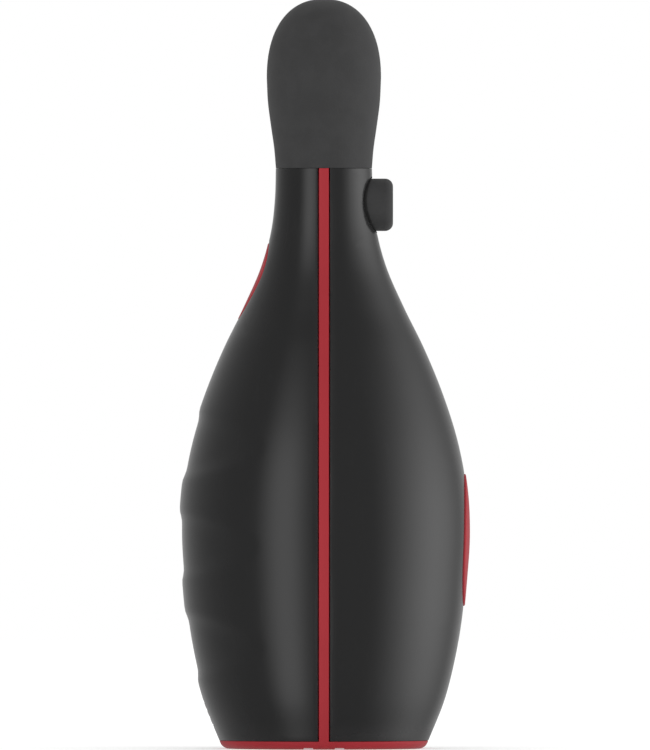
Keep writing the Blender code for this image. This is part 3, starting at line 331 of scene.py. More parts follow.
satinRed = {
    "colour": (0.384, 0.016, 0.026),
    # the darker red: the flow streaks and grain, and also the painted shade along the strip's edges
    "deep": (0.348, 0.013, 0.021),
    "roughness": 0.42,
    "sparkSize": 0.25 * mm,
    "sparkDepth": 0.006 * mm,
    "flowSize": 7 * mm,
}


def makeSatinRed():
    # spark-eroded satin moulding with the faint streaks of its flow, and painted shade on the strip's rounded edges
    # and in the gaps where the parts meet
    style = satinRed
    material, tree = newMaterial("satinRed")
    place = tree.place()
    x, y, z = tree.axes(place)
    spark = tree.noise(place, style["sparkSize"], 3.0, 0.6)
    flow = tree.noise(tree.stretched(place, (1.0, 1.0, 0.25)), style["flowSize"], 3.0)
    # painted shade: a darker band over the strip's rounded edges and over the foot seen through the gap beside it
    lip = x.size().above(1.13 * mm, 0.14 * mm) * (1.0 - x.size().above(1.5 * mm, 0.05 * mm))
    shade = (flow.above(0.5, 0.25) * 0.45 + spark * 0.3 + lip * 0.35).least(1.0)
    roughness = style["roughness"] + spark * 0.10 + flow * 0.05
    tree.surface(
        {"IOR": 1.49, "Specular IOR Level": 0.4},
        {"Base Color": shade.between(style["colour"], style["deep"]), "Roughness": roughness,
         "Normal": tree.bump(spark, style["sparkDepth"], 0.6)},
    )
    return material


# what lies inside, and the small metal parts: two colours, roughness, metallic, grain and its stretch
innerFinishes = {
    "dark_rubber": ((0.0035, 0.0035, 0.0035), (0.0065, 0.0065, 0.0065), 0.82, 0.0, 0.5 * mm, (1, 1, 1), 0.020 * mm),
    "grey_plastic": ((0.165, 0.165, 0.175), (0.205, 0.205, 0.210), 0.52, 0.0, 0.4 * mm, (1, 1, 1), 0.012 * mm),
    "white_plastic": ((0.70, 0.69, 0.66), (0.76, 0.75, 0.72), 0.46, 0.0, 0.6 * mm, (1, 1, 1), 0.006 * mm),
    "chip_black": ((0.012, 0.012, 0.013), (0.020, 0.020, 0.021), 0.50, 0.0, 0.2 * mm, (1, 1, 1), 0.010 * mm),
    "battery_wrap": ((0.030, 0.145, 0.330), (0.040, 0.180, 0.400), 0.32, 0.0, 3.0 * mm, (1, 1, 0.2), 0.008 * mm),
    "steel": ((0.54, 0.55, 0.56), (0.61, 0.62, 0.63), 0.30, 1.0, 0.8 * mm, (1, 1, 12), 0.004 * mm),
    "dark_steel": ((0.075, 0.075, 0.080), (0.13, 0.13, 0.135), 0.38, 1.0, 0.5 * mm, (6, 1, 1), 0.005 * mm),
    "brass": ((0.76, 0.56, 0.24), (0.66, 0.46, 0.17), 0.27, 1.0, 0.9 * mm, (1, 1, 8), 0.004 * mm),
    "nickel": ((0.62, 0.60, 0.56), (0.70, 0.68, 0.64), 0.24, 1.0, 1.1 * mm, (1, 1, 1), 0.003 * mm),
    "copper": ((0.72, 0.36, 0.20), (0.55, 0.22, 0.11), 0.33, 1.0, 0.35 * mm, (0.05, 0.05, 3), 0.060 * mm),
    "red_lead": ((0.43, 0.018, 0.018), (0.50, 0.028, 0.026), 0.48, 0.0, 1.6 * mm, (1, 1, 1), 0.006 * mm),
    "black_lead": ((0.017, 0.017, 0.017), (0.026, 0.026, 0.026), 0.50, 0.0, 1.6 * mm, (1, 1, 1), 0.006 * mm),
}


def makeInnerFinish(name):
    first, second, dull, metal, grainSize, stretch, depth = innerFinishes[name]
    material, tree = newMaterial(name)
    place = tree.stretched(tree.place(), stretch)
    grain = tree.noise(place, grainSize, 3.0, 0.6)
    blotch = tree.noise(tree.place(), grainSize * 9, 2.0)
    mixed = (grain * 0.6 + blotch * 0.5).above(0.55, 0.3)
    tree.surface(
        {"Metallic": metal},
        {"Base Color": mixed.between(first, second), "Roughness": dull - 0.06 + mixed * 0.12,
         "Normal": tree.bump(grain, depth, 0.5)},
    )
    return material


smokedPipe = {"colour": (0.006, 0.006, 0.007), "rim": (0.012, 0.012, 0.013), "roughness": 0.55}


def makeSmokedPipe():
    # the comb that carries light to the shell, tinted so that it hides until it is lit
    material, tree = newMaterial("smokedPipe")
    place = tree.place()
    swirl = tree.noise(place, 1.4 * mm, 3.0)
    fine = tree.noise(place, 0.12 * mm, 2.0)
    tree.surface(
        {"IOR": 1.3, "Specular IOR Level": 0.0},
        {"Base Color": swirl.between(smokedPipe["colour"], smokedPipe["rim"]),
         "Roughness": smokedPipe["roughness"] + fine * 0.1,
         "Normal": tree.bump(swirl + fine * 0.2, 0.004 * mm, 0.5)},
    )
    return material


circuitBoard = {"mask": (0.016, 0.105, 0.045), "trace": (0.030, 0.180, 0.080), "pad": (0.62, 0.60, 0.55)}


def makeCircuitBoard():
    # solder mask over a grid of traces, with tinned pads
    material, tree = newMaterial("circuitBoard")
    place = tree.place()
    cells = tree.grains(tree.stretched(place, (1, 1, 1)), 2.4 * mm, "DISTANCE_TO_EDGE")
    trace = 1.0 - cells.above(0.10, 0.03)
    spots = tree.grains(place, 3.1 * mm)
    pad = 1.0 - spots.above(0.22, 0.02)
    mask = trace.between(circuitBoard["mask"], circuitBoard["trace"])
    colour = tree.node("ShaderNodeMix", {"data_type": "RGBA"},
                       {"Factor": pad, 6: mask, 7: (*circuitBoard["pad"], 1)}, output=2)
    weave = tree.noise(place, 0.3 * mm, 2.0)
    tree.surface(
        {"IOR": 1.5},
        {"Base Color": colour, "Roughness": 0.38 + weave * 0.1 - pad * 0.12, "Metallic": pad,
         "Normal": tree.bump(trace + pad + weave * 0.2, 0.03 * mm, 0.5)},
    )
    return material


materials = {name: makeInnerFinish(name) for name in innerFinishes}
materials["black_gloss"] = makeGlossBlack()
materials["soft_black"] = makeSoftBlack()
materials["red_plastic"] = makeSatinRed()
materials["clear_plastic"] = makeSmokedPipe()
materials["board_green"] = makeCircuitBoard()
slotOf = {part["node"]: part["material_slot"] for part in frame["record"]["subparts"]}
for nodeName, nodeObject in frame["nodes"].items():
    nodeObject.data.materials.clear()
    nodeObject.data.materials.append(materials[slotOf[nodeName]])
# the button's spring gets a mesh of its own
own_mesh(frame["nodes"]["button_spring"])
print("materials:", len(materials))


# ---- mesh making


def addPiece(name, points, faces, slot, body, *nodes, smoothAngle=38):
    mesh = bpy.data.meshes.new(name)
    mesh.from_pydata([tuple(point) for point in points], [], faces)
    shape = bmesh.new()
    shape.from_mesh(mesh)
    bmesh.ops.delete(shape, geom=[v for v in shape.verts if not v.link_faces], context="VERTS")
    bmesh.ops.recalc_face_normals(shape, faces=shape.faces)
    shape.to_mesh(mesh)
    shape.free()
    return dressPiece(bpy.data.objects.new(name, mesh), slot, body, *nodes, smoothAngle=smoothAngle)


def dressPiece(piece, slot, body, *nodes, smoothAngle=38):
    if piece.name not in bpy.context.scene.collection.objects:
        bpy.context.scene.collection.objects.link(piece)
    piece.data.shade_smooth()
    piece.data.set_sharp_from_angle(angle=radians(smoothAngle))
    piece.data.materials.clear()
    piece.data.materials.append(materials[slot])
    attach(piece, body)
    if nodes:
        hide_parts(*nodes)
    print("piece:", piece.name, len(piece.data.polygons), "faces")
    return piece


def turnedMesh(profile, segments, closed=True):
    # (radius, height) pairs turned about Z; pairs on the axis become one point
    points, rings = [], []
    for radius, height in profile:
        if radius < 1e-7:
            points.append((0, 0, height))
            rings.append([len(points) - 1] * segments)
            continue
        start = len(points)
        points += [(radius * cos(2 * pi * i / segments), radius * sin(2 * pi * i / segments), height)
                   for i in range(segments)]
        rings.append(list(range(start, start + segments)))
    pairs = list(zip(rings, rings[1:]))
    if closed and profile[0][0] > 1e-7:
        pairs.append((rings[-1], rings[0]))
    faces = []
    for low, high in pairs:
        for i in range(segments):
            k = (i + 1) % segments
            corners = [low[i], low[k], high[k], high[i]]
            corners = [c for n, c in enumerate(corners) if c != corners[n - 1]]
            if len(corners) > 2:
                faces.append(corners)
    return points, faces


def rounded(corners, radius, steps=5):
    # a (radius, height) outline with each of its inner corners made an arc
    outline = [corners[0]]
    for before, corner, after in zip(corners, corners[1:], corners[2:]):
        here = Vector(corner)
        back, forth = Vector(before) - here, Vector(after) - here
        reach = min(radius, back.length / 2.2, forth.length / 2.2)
        start, end = here + back.normalized() * reach, here + forth.normalized() * reach
        for i in range(steps + 1):
            t = i / steps
            outline.append(tuple((1 - t) ** 2 * start + 2 * t * (1 - t) * here + t * t * end))
    return [*outline, corners[-1]]


def alongX(points, height):
    # a shape turned about Z, laid so that its axis is X at a height
    turn = Matrix.Translation((0, 0, height)) @ Matrix.Rotation(pi / 2, 4, "Y")
    return [turn @ Vector(point) for point in points]


# ---- the half shells

shells = {
    "wall": 2.2 * mm,
    "edge": 0.25 * mm,  # rounding along the strips and round the openings
    "endEdge": 0.06 * mm,  # rounding where the shells meet the base and the head
    "edgeSteps": 4,
    "rowStep": 1.15 * mm,
    "columns": 44,  # from the middle to each seam
    "fineColumns": 3,  # the one in the middle is divided again, for the small holes
    "stripHalf": 1.27 * mm,
    "collarRadius": 9.9 * mm,
    "collarBore": 8.4 * mm,
    "lipBore": 6.6 * mm,
    "grooves": 3,
    "firstGroove": 26.1 * mm,
    "groovePitch": 25.4 * mm,
    "grooveHeight": 18.8 * mm,
    "grooveDepth": 0.7 * mm,
    "grooveReach": radians(65),
    "grooveEase": 0.66,
}
shellBottom = lowOf("front_shell").z - pinShape["gap"] + pinShape["joint"]
shellTop = pinShape["seam"] - pinShape["gap"]
seamFace = shells["stripHalf"] + pinShape["gap"]


def grooveDepthAt(y, height):
    angle = asin(max(-1.0, min(1.0, y / bodyRadius(height))))
    for number in range(shells["grooves"]):
        up = (height - shells["firstGroove"] - number * shells["groovePitch"]) / (shells["grooveHeight"] / 2)
        inside = min(1.0, (1 - up * up - (angle / shells["grooveReach"]) ** 2) / shells["grooveEase"])
        if inside > 0:
            return shells["grooveDepth"] * inside * inside * (3 - 2 * inside)
    return 0.0


def noGroove(y, height):
    return 0.0


def innerRadius(height):
    taper = shellTop - height + shells["lipBore"]
    return min(bodyRadius(height) - shells["wall"], taper)


def opening(height, up, down, rows, blockRows, columns, blockColumns, halfWidth, halfHeight, depth=None,
            edge=shells["edge"]):
    # a round or oval hole, or a recess where depth is given, set into the shell's rows and columns
    return {
        "height": height, "low": height - down, "high": height + up, "rows": rows, "blockRows": blockRows,
        "columns": columns, "blockColumns": blockColumns, "halfWidth": halfWidth, "halfHeight": halfHeight,
        "depth": depth, "edge": edge,
    }


def aroundOval(u, v):
    # the angle on a circle of a place on a square's edge
    if abs(u) >= abs(v):
        return pi / 4 * v / u + (pi if u < 0 else 0)
    return pi / 2 - pi / 4 * u / v + (pi if v < 0 else 0)


def shellRows(openings):
    rows, place = [], shellBottom + shells["endEdge"]
    for hole in sorted(openings, key=lambda o: o["low"]):
        if hole["low"] > place + 1e-6:
            rows += stepped(place, hole["low"], shells["rowStep"])[:-1]
        rows += evenly(hole["low"], hole["height"], hole["rows"])[:-1]
        rows += evenly(hole["height"], hole["high"], hole["rows"])[:-1]
        place = hole["high"]
    rows += stepped(place, shellTop - shells["endEdge"], shells["rowStep"])
    turns = [radians(90 * i / shells["edgeSteps"]) for i in range(1, shells["edgeSteps"] + 1)]
    edge = shells["endEdge"]
    foot = [(shellBottom + edge * (1 - sin(a)), edge * (1 - cos(a))) for a in reversed(turns)]
    top = [(shellTop - edge * (1 - sin(a)), edge * (1 - cos(a))) for a in turns]
    return foot + [(height, 0.0) for height in rows] + top


def shellColumns():
    # each column is (share of the way round, None), or (side, rounding angle) beside a seam
    fine = shells["fineColumns"]
    half = [i / (fine * shells["columns"]) for i in range(1, fine)]
    half += [i / shells["columns"] for i in range(1, shells["columns"] + 1)]
    turns = [radians(90 * i / shells["edgeSteps"]) for i in range(1, shells["edgeSteps"] + 1)]
    left = [(-1, a) for a in reversed(turns)] + [(-share, None) for share in reversed(half)]
    return left + [(0.0, None)] + [(share, None) for share in half] + [(1, a) for a in turns]


def makeShell(name, node, side, openings, relief):
    rows, columns, edge = shellRows(openings), shellColumns(), shells["edge"]
    centre, count = len(columns) // 2, len(columns)
    points, faces = [], []

    def onSurface(y, height, inset, outside=True):
        radius = bodyRadius(height) - relief(y, height) if outside else innerRadius(height)
        return (side * sqrt((radius - inset) ** 2 - y * y), y, height)

    def gridPoint(radius, inset, height, column, outside):
        share, turn = column
        start = seamFace + edge
        if turn is None:
            y = (radius - inset) * sin(share * acos(start / (radius - inset)))
            return y, height, inset, None
        x = start - edge * sin(turn)
        inset = max(inset, edge * (1 - cos(turn))) if outside else 0.0
        y = share * sqrt((radius - inset) ** 2 - x * x)
        return y, height, inset, x

    def addRow(radius, inset, height, rowIndex=None, outside=True):
        ids = []
        for number, column in enumerate(columns):
            y, z, depth, x = gridPoint(radius, inset, height, column, outside)
            if x is not None or rowIndex is None:
                x = x if x is not None else sqrt((radius - depth) ** 2 - y * y)
                points.append((side * x, y, z))
            else:
                y, z = pulled(y, z, rowIndex, number - centre, outside)
                points.append(onSurface(y, z, depth, outside))
            ids.append(len(points) - 1)
        return ids

    def rowIndexOf(hole):
        return min(range(len(rows)), key=lambda i: abs(rows[i][0] - hole["height"]) + 1000 * rows[i][1])

    def pulled(y, z, rowIndex, across, outside):
        for hole in openings:
            if not outside and hole["depth"] is not None:
                continue
            up = rowIndex - hole["row"]
            share = max(abs(up) / hole["rows"], abs(across) / hole["columns"])
            if share > 1 or share == 0:
                continue
            inner = hole["blockRows"] / hole["rows"]
            if share < inner - 1e-9:
                return y, z
            angle = aroundOval(across / hole["columns"], up / hole["rows"])
            lip = hole["edge"] if outside else 0
            ovalY = (hole["halfWidth"] + lip) * cos(angle)
            ovalZ = hole["height"] + (hole["halfHeight"] + lip) * sin(angle)
            t = (share - inner) / (1 - inner)
            return ovalY + (y - ovalY) * t, ovalZ + (z - ovalZ) * t
        return y, z

    for hole in openings:
        hole["row"] = rowIndexOf(hole)
    outer = [addRow(bodyRadius(z), inset, z, i) for i, (z, inset) in enumerate(rows)]
    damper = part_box("neck_damper")
    gap = pinShape["gap"]
    collar = rounded([
        (bodyRadius(shellTop) - shells["endEdge"], shellTop), (shells["collarRadius"], shellTop),
        (shells["collarRadius"], highOf(node).z), (shells["lipBore"], highOf(node).z),
        (shells["lipBore"], damper[1].z + gap), (shells["collarBore"], damper[1].z + gap),
        (shells["collarBore"], damper[0].z - gap), (shells["lipBore"], damper[0].z - gap),
        (shells["lipBore"], shellTop),
    ], 0.2 * mm, 2)[1:-1]
    middle = [addRow(radius, 0.0, height) for radius, height in collar]
    inner = [addRow(innerRadius(z), 0.0, z, i, False) for i, (z, inset) in enumerate(rows)]
    loops = outer + middle + inner[::-1]

    def inBlock(hole, index, across):
        return (hole["row"] - hole["blockRows"] <= index < hole["row"] + hole["blockRows"]
                and centre - hole["blockColumns"] <= across < centre + hole["blockColumns"])

    for number, low in enumerate(loops):
        high = loops[(number + 1) % len(loops)]
        for j in range(count - 1):
            if number < len(outer) - 1 and any(inBlock(hole, number, j) for hole in openings):
                continue
            inside = len(loops) - 2 - number
            if 0 <= inside < len(inner) - 1 and any(
                    hole["depth"] is None and inBlock(hole, inside, j) for hole in openings):
                continue
            faces.append((low[j], low[j + 1], high[j + 1], high[j]))
    faces.append([loop[0] for loop in loops])
    faces.append([loop[-1] for loop in loops])

    for hole in openings:
        places = [(i, j) for i in range(-hole["blockRows"], hole["blockRows"] + 1)
                  for j in range(-hole["blockColumns"], hole["blockColumns"] + 1)
                  if abs(i) == hole["blockRows"] or abs(j) == hole["blockColumns"]]
        angles = {p: aroundOval(p[1] / hole["blockColumns"], p[0] / hole["blockRows"]) % (2 * pi) for p in places}
        places.sort(key=angles.get)
        rings = [[outer[hole["row"] + i][centre + j] for i, j in places]]

        def addRing(share, grow, inset):
            ring = []
            for p in places:
                y = (share * hole["halfWidth"] + grow) * cos(angles[p])
                z = hole["height"] + (share * hole["halfHeight"] + grow) * sin(angles[p])
                points.append(onSurface(y, z, inset))
                ring.append(len(points) - 1)
            rings.append(ring)

        for step in range(1, shells["edgeSteps"] + 1):
            turn = radians(90 * step / shells["edgeSteps"])
            addRing(1, hole["edge"] * (1 - sin(turn)), hole["edge"] * (1 - cos(turn)))
        if hole["depth"] is None:
            rings.append([inner[hole["row"] + i][centre + j] for i, j in places])
        else:
            for share in (1, 0.66, 0.33):
                addRing(share, 0, hole["depth"])
            points.append(onSurface(0, hole["height"], hole["depth"]))
            rings.append([len(points) - 1] * len(places))
        for first, second in zip(rings, rings[1:]):
            for k in range(len(places)):
                corners = [first[k - 1], first[k], second[k], second[k - 1]]
                corners = [c for n, c in enumerate(corners) if c != corners[n - 1]]
                faces.append(corners)
    return addPiece(name, points, faces, "black_gloss", "housing", node)


button = {"radius": 6.65 * mm, "holeGap": 0.65 * mm, "height": middleOf("button_cap").z}
badgeRecess = {"gap": 0.3 * mm, "depth": 1.15 * mm}
inlayRecess = {"gap": 0.3 * mm, "depth": 1.1 * mm}
lamps = {"count": 4, "halfWidth": 3.45 * mm, "halfHeight": 0.30 * mm, "depth": 0.55 * mm, "pitch": 2.0 * mm,
         "first": middleOf("charge_led_1").z}


def ovalOf(node, gap):
    low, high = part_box(node)
    return (high.y - low.y) / 2 + gap, (high.z - low.z) / 2 + gap


hole = button["radius"] + button["holeGap"]
badgeOval = ovalOf("rear_badge", badgeRecess["gap"])
inlayOval = ovalOf("neck_inlay", inlayRecess["gap"])
rearOpenings = [
    opening(button["height"], 8.75 * mm, 10.2 * mm, 12, 8, 33, 22, hole, hole),
    opening(middleOf("rear_badge").z, 23 * mm, 23 * mm, 18, 12, 21, 14, *badgeOval, badgeRecess["depth"]),
]
frontOpenings = [
    opening(middleOf("neck_inlay").z, 13.5 * mm, 13.5 * mm, 12, 8, 21, 14, *inlayOval, inlayRecess["depth"]),
]
for number in range(lamps["count"]):
    height = lamps["first"] + number * lamps["pitch"]
    frontOpenings.append(opening(height, 1 * mm, 1 * mm, 3, 2, 8, 6, lamps["halfWidth"], lamps["halfHeight"],
                                 lamps["depth"], 0.12 * mm))
makeShell("frontShell", "front_shell", -1, frontOpenings, grooveDepthAt)
makeShell("rearShell", "rear_shell", 1, rearOpenings, noGroove)


# ---- the frame between the shells: the base and the strip up each side, in one moulding

frameShape = {
    "segments": 216,
    "corner": 2.4 * mm,
    "rimHeight": 2.05 * mm,
    "baseThickness": 3.2 * mm,
    "spigotTop": 4.5 * mm,
    "spigotWall": 1.2 * mm,
    "edge": 0.2 * mm,
    "topEdge": 0.06 * mm,
    "footHalf": 2.6 * mm,
    "footDepth": 1.5 * mm,
    "footGap": 0.4 * mm,
    "footTop": lowOf("switch_bracket").z - 2 * mm,
    "sealDepth": 0.8 * mm,
    "sealTop": shellTop - 0.04 * mm,
    "rowStep": 1.2 * mm,
    "grooveAt": 3.94 * mm,
    "grooveHalf": 1.2 * mm,
    "grooveDepth": 0.4 * mm,
    "lip": 0.15 * mm,
    "screwSeat": 2.0 * mm,
    "screwBore": 2.5 * mm,
    "screwHole": 1.3 * mm,
    "contactSeat": 1.45 * mm,
    "contactBore": 2.1 * mm,
    "contactHole": 1.3 * mm,
}


def baseProfile():
    style = frameShape
    slope = (bodyRadius(style["rimHeight"]) - bodyRadius(0)) / style["rimHeight"]
    lean = acos(slope / sqrt(1 + slope * slope))
    corner = bodyRadius(0) - style["corner"] * sin(lean / 2) / cos(lean / 2)
    arc = [(corner + style["corner"] * sin(a), style["corner"] * (1 - cos(a))) for a in evenly(0, lean, 12)]
    spigot = innerRadius(shellBottom) - pinShape["gap"]
    bore = spigot - style["spigotWall"]
    outline = [
        arc[-1], (bodyRadius(style["rimHeight"]), style["rimHeight"]), (spigot, style["rimHeight"]),
        (spigot, style["spigotTop"]), (bore, style["spigotTop"]), (bore, style["baseThickness"]),
        (0, style["baseThickness"]),
    ]
    return [(0, 0), *arc[:-1], *rounded(outline, style["edge"], 3)]


def rounds(side, half, front, back, edge, steps=5):
    # one level of a strip: its rounded front, which follows the front function, and its flat back
    turns = evenly(0, pi / 2, steps)
    left = [(-half + edge * (1 - sin(a)), edge * (1 - cos(a))) for a in reversed(turns)]
    places = left + [(x, 0) for x in evenly(-half + edge, half - edge, 6)[1:-1]] + [(-x, d) for x, d in left[::-1]]
    return [(x, side * (front(x) - depth)) for x, depth in places] + [(half, side * back), (-half, side * back)]


def lofted(levels):
    # levels of (height, outline), each outline with as many points, closed at both ends
    points, faces, count = [], [], len(levels[0][1])
    for height, outline in levels:
        points += [(x, y, height) for x, y in outline]
    for level in range(len(levels) - 1):
        for i in range(count):
            k = (i + 1) % count
            low, high = level * count, (level + 1) * count
            faces.append((low + i, low + k, high + k, high + i))
    return points, [*faces, tuple(range(count)), tuple(range(len(points) - count, len(points)))]


def toolFrom(points, faces, name="tool"):
    mesh = bpy.data.meshes.new(name)
    mesh.from_pydata([tuple(p) for p in points], [], faces)
    shape = bmesh.new()
    shape.from_mesh(mesh)
    bmesh.ops.delete(shape, geom=[v for v in shape.verts if not v.link_faces], context="VERTS")
    bmesh.ops.recalc_face_normals(shape, faces=shape.faces)
    shape.to_mesh(mesh)
    shape.free()
    tool = bpy.data.objects.new(name, mesh)
    bpy.context.scene.collection.objects.link(tool)
    return tool


def combined(base, operation, *tools):
    for tool in tools:
        modifier = base.modifiers.new("combine", "BOOLEAN")
        modifier.operation, modifier.solver, modifier.object = operation, "EXACT", tool
    settle(base)
    for tool in tools:
        bpy.data.objects.remove(tool)


def settle(piece):
    # the piece takes the mesh that its modifiers make
    graph = bpy.context.evaluated_depsgraph_get()
    mesh = bpy.data.meshes.new_from_object(piece.evaluated_get(graph))
    piece.modifiers.clear()
    piece.data = mesh
    shape = bmesh.new()
    shape.from_mesh(mesh)
    bmesh.ops.remove_doubles(shape, verts=shape.verts, dist=1e-7)
    bmesh.ops.dissolve_degenerate(shape, edges=shape.edges, dist=1e-7)
    bmesh.ops.recalc_face_normals(shape, faces=shape.faces)
    shape.to_mesh(mesh)
    shape.free()


def makeStrips():
    style, tools = frameShape, []
    for side in (-1, 1):
        levels = []
        for height in stepped(style["rimHeight"] / 2, shellTop - style["topEdge"], style["rowStep"]):
            levels.append((height, 0.0))
        for angle in evenly(0, pi / 2, 4)[1:]:
            levels.append((shellTop - style["topEdge"] * (1 - sin(angle)), style["topEdge"] * (1 - cos(angle))))

        def backOf(height):
            return sqrt((innerRadius(height) - style["footGap"]) ** 2 - style["footHalf"] ** 2) - 0.5 * mm

        tools.append(toolFrom(*lofted([
            (height, rounds(side, shells["stripHalf"], lambda x: sqrt((bodyRadius(height) - inset) ** 2 - x * x),
                            backOf(height), style["edge"]))
            for height, inset in levels
        ])))
        # the foot hooks behind both shells and thins to a light seal above the switch
        feet = [(z, style["footDepth"]) for z in stepped(style["baseThickness"] - 0.5 * mm, style["footTop"], 3 * mm)]
        feet += [(z, style["sealDepth"]) for z in stepped(style["footTop"] + 0.3 * mm, style["sealTop"], 1 * mm)]
        tools.append(toolFrom(*lofted([
            (height, rounds(side, style["footHalf"], lambda x: backOf(height) + 0.5 * mm,
                            backOf(height) + 0.5 * mm - depth, style["edge"], 2))
            for height, depth in feet
        ])))
    return tools


def flared(radius, seat):
    # the outline of a countersunk cutter whose lip is rounded
    lip = frameShape["lip"]
    turns = evenly(0, pi / 2, 4)
    edge = [(radius + lip * (1 - sin(a)), lip * (1 - cos(a))) for a in turns]
    return [(0, -1 * mm), (radius + lip, -1 * mm), *edge, (radius, seat), (0, seat)]


def makeBaseCutters():
    style, tools = frameShape, []
    lip, half, depth = style["lip"], style["grooveHalf"], style["grooveDepth"]
    turns = evenly(0, pi / 2, 4)
    side = [(half + lip * (1 - sin(a)), lip * (1 - cos(a))) for a in turns]
    floor = [(half - lip * (1 - cos(a)), depth - lip * (1 - sin(a))) for a in turns]
    right = [(half + lip, -1 * mm), *side, *floor]
    section = right + [(-x, z) for x, z in reversed(right)]
    for centre in (-style["grooveAt"], style["grooveAt"]):
        ends = [[(centre + x, y, z) for x, z in section] for y in (-40 * mm, 40 * mm)]
        count = len(section)
        faces = [(i, (i + 1) % count, count + (i + 1) % count, count + i) for i in range(count)]
        tools.append(toolFrom(ends[0] + ends[1], [*faces, tuple(range(count)), tuple(range(count, 2 * count))]))
    for node, bore, seat, shank in (
            ("base_screw_1", style["screwBore"], style["screwSeat"], style["screwHole"]),
            ("base_screw_2", style["screwBore"], style["screwSeat"], style["screwHole"]),
            ("charge_contact_1", style["contactBore"], style["contactSeat"], style["contactHole"]),
            ("charge_contact_2", style["contactBore"], style["contactSeat"], style["contactHole"])):
        centre = middleOf(node)
        for profile in (flared(bore, seat), [(0, 0), (shank, 0), (shank, 8 * mm), (0, 8 * mm)]):
            points, faces = turnedMesh(profile, 48)
            tools.append(toolFrom([(x + centre.x, y + centre.y, z) for x, y, z in points], faces))
    return tools


midFrame = toolFrom(*turnedMesh(baseProfile(), frameShape["segments"]), name="midFrame")
combined(midFrame, "UNION", *makeStrips())
combined(midFrame, "DIFFERENCE", *makeBaseCutters())
dressPiece(midFrame, "red_plastic", "housing", "mid_frame", smoothAngle=30)


# ---- the head's soft sleeve

headShape = {"segments": 144, "wall": 2.0 * mm, "edge": 0.05 * mm, "rise": 52, "dome": 64}


def headOutline(inset, low):
    widest = pinShape["seam"] + pinShape["headWidest"]
    side = [(headRadius(z, inset), z) for z in evenly(low, widest, headShape["rise"])]
    power = 2 / pinShape["domePower"]
    high = pinShape["top"] - widest - inset
    dome = [((pinShape["headRadius"] - inset) * cos(a) ** power, widest + high * sin(a) ** power)
            for a in evenly(0, pi / 2, headShape["dome"])[1:-1]]
    return [*side, *dome, (0, pinShape["top"] - inset)]


def makeSleeve():
    low, edge = shellTop + pinShape["joint"], headShape["edge"]
    turns = evenly(0, pi / 2, 5)
    start = headRadius(low) - edge
    foot = [(start + edge * sin(a), low + edge * (1 - cos(a))) for a in turns]
    inside = headOutline(headShape["wall"], low)
    profile = [inside[0], *foot, *headOutline(0, low + edge)[1:]]
    points, faces = turnedMesh([*profile, *inside[:0:-1]], headShape["segments"])
    return addPiece("headSleeve", points, faces, "soft_black", "housing", "head_sleeve")


makeSleeve()


# ---- the thumb button and its seal, turned about X

buttonShape = {
    "segments": 128, "corner": 2.0 * mm, "cornerSteps": 12, "dish": 0.12 * mm, "faceRings": 8,
    "side": 1.3 * mm, "front": 1.8 * mm, "post": 2.0 * mm, "flangeThickness": 1.2 * mm,
    "postBack": 0.9 * mm, "edge": 0.15 * mm,
}


def makeButton():
    style, radius = buttonShape, button["radius"]
    reach, back = highOf("button_cap").x, lowOf("button_cap").x
    flange = highOf("button_cap").z - button["height"]
    front = back + style["flangeThickness"]
    flat = radius - style["corner"]
    face = [(r, reach - style["dish"] * (1 - (r / flat) ** 2) ** 2) for r in evenly(0, flat, style["faceRings"])]
    corner = [(flat + style["corner"] * sin(a), reach - style["corner"] * (1 - cos(a)))
              for a in evenly(0, pi / 2, style["cornerSteps"])[1:]]
    bore, inner = radius - style["side"], reach - style["front"]
    rest = [
        corner[-1], (radius, front), (flange, front), (flange, back), (bore, back), (bore, inner),
        (style["post"], inner), (style["post"], back + style["postBack"]), (0, back + style["postBack"]),
    ]
    points, faces = turnedMesh([*face, *corner[:-1], *rounded(rest, style["edge"], 3)], style["segments"])
    return addPiece("thumbButton", alongX(points, button["height"]), faces, "soft_black", "button",
                    "button_cap")


sealShape = {"around": 144, "tube": 7.2 * mm, "proud": 0.04 * mm, "prouder": 0.36 * mm, "edge": 0.1 * mm}


def makeSeal():
    # a flange inside the shell, and a thin tube up round the button that ends along the neck's curve
    low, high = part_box("button_seal")
    inner, outer, tube = button["radius"] + pinShape["gap"], high.z - button["height"], sealShape["tube"]
    edge, count, points, faces = sealShape["edge"], sealShape["around"], [], []
    for i in range(count):
        angle = 2 * pi * i / count
        proud = sealShape["proud"] + sealShape["prouder"] * sin(angle) ** 2

        def top(radius, down=0.0):
            y, z = radius * sin(angle), button["height"] + radius * cos(angle)
            return sqrt(bodyRadius(z) ** 2 - y * y) + proud - down

        section = [
            (inner, low.x + edge), (inner + edge, low.x), (outer - edge, low.x), (outer, low.x + edge),
            (outer, high.x - edge), (outer - edge, high.x), (tube + edge, high.x), (tube, high.x + edge),
            (tube, top(tube, edge)), (tube - edge / 3, top(tube, edge / 3)), (tube - edge, top(tube - edge)),
            (inner + edge / 2, top(inner)), (inner, top(inner, edge)),
        ]
        points += [(x, radius * sin(angle), button["height"] + radius * cos(angle)) for radius, x in section]
    size = len(section)
    for i in range(count):
        here, there = i * size, ((i + 1) % count) * size
        faces += [(here + k, here + (k + 1) % size, there + (k + 1) % size, there + k) for k in range(size)]
    return addPiece("sealRing", points, faces, "dark_rubber", "housing", "button_seal")


makeButton()
makeSeal()


# ---- the two oval trims, which follow the body they are set into

trimShape = {"around": 160, "rings": 18, "edge": 0.35 * mm, "edgeSteps": 5}


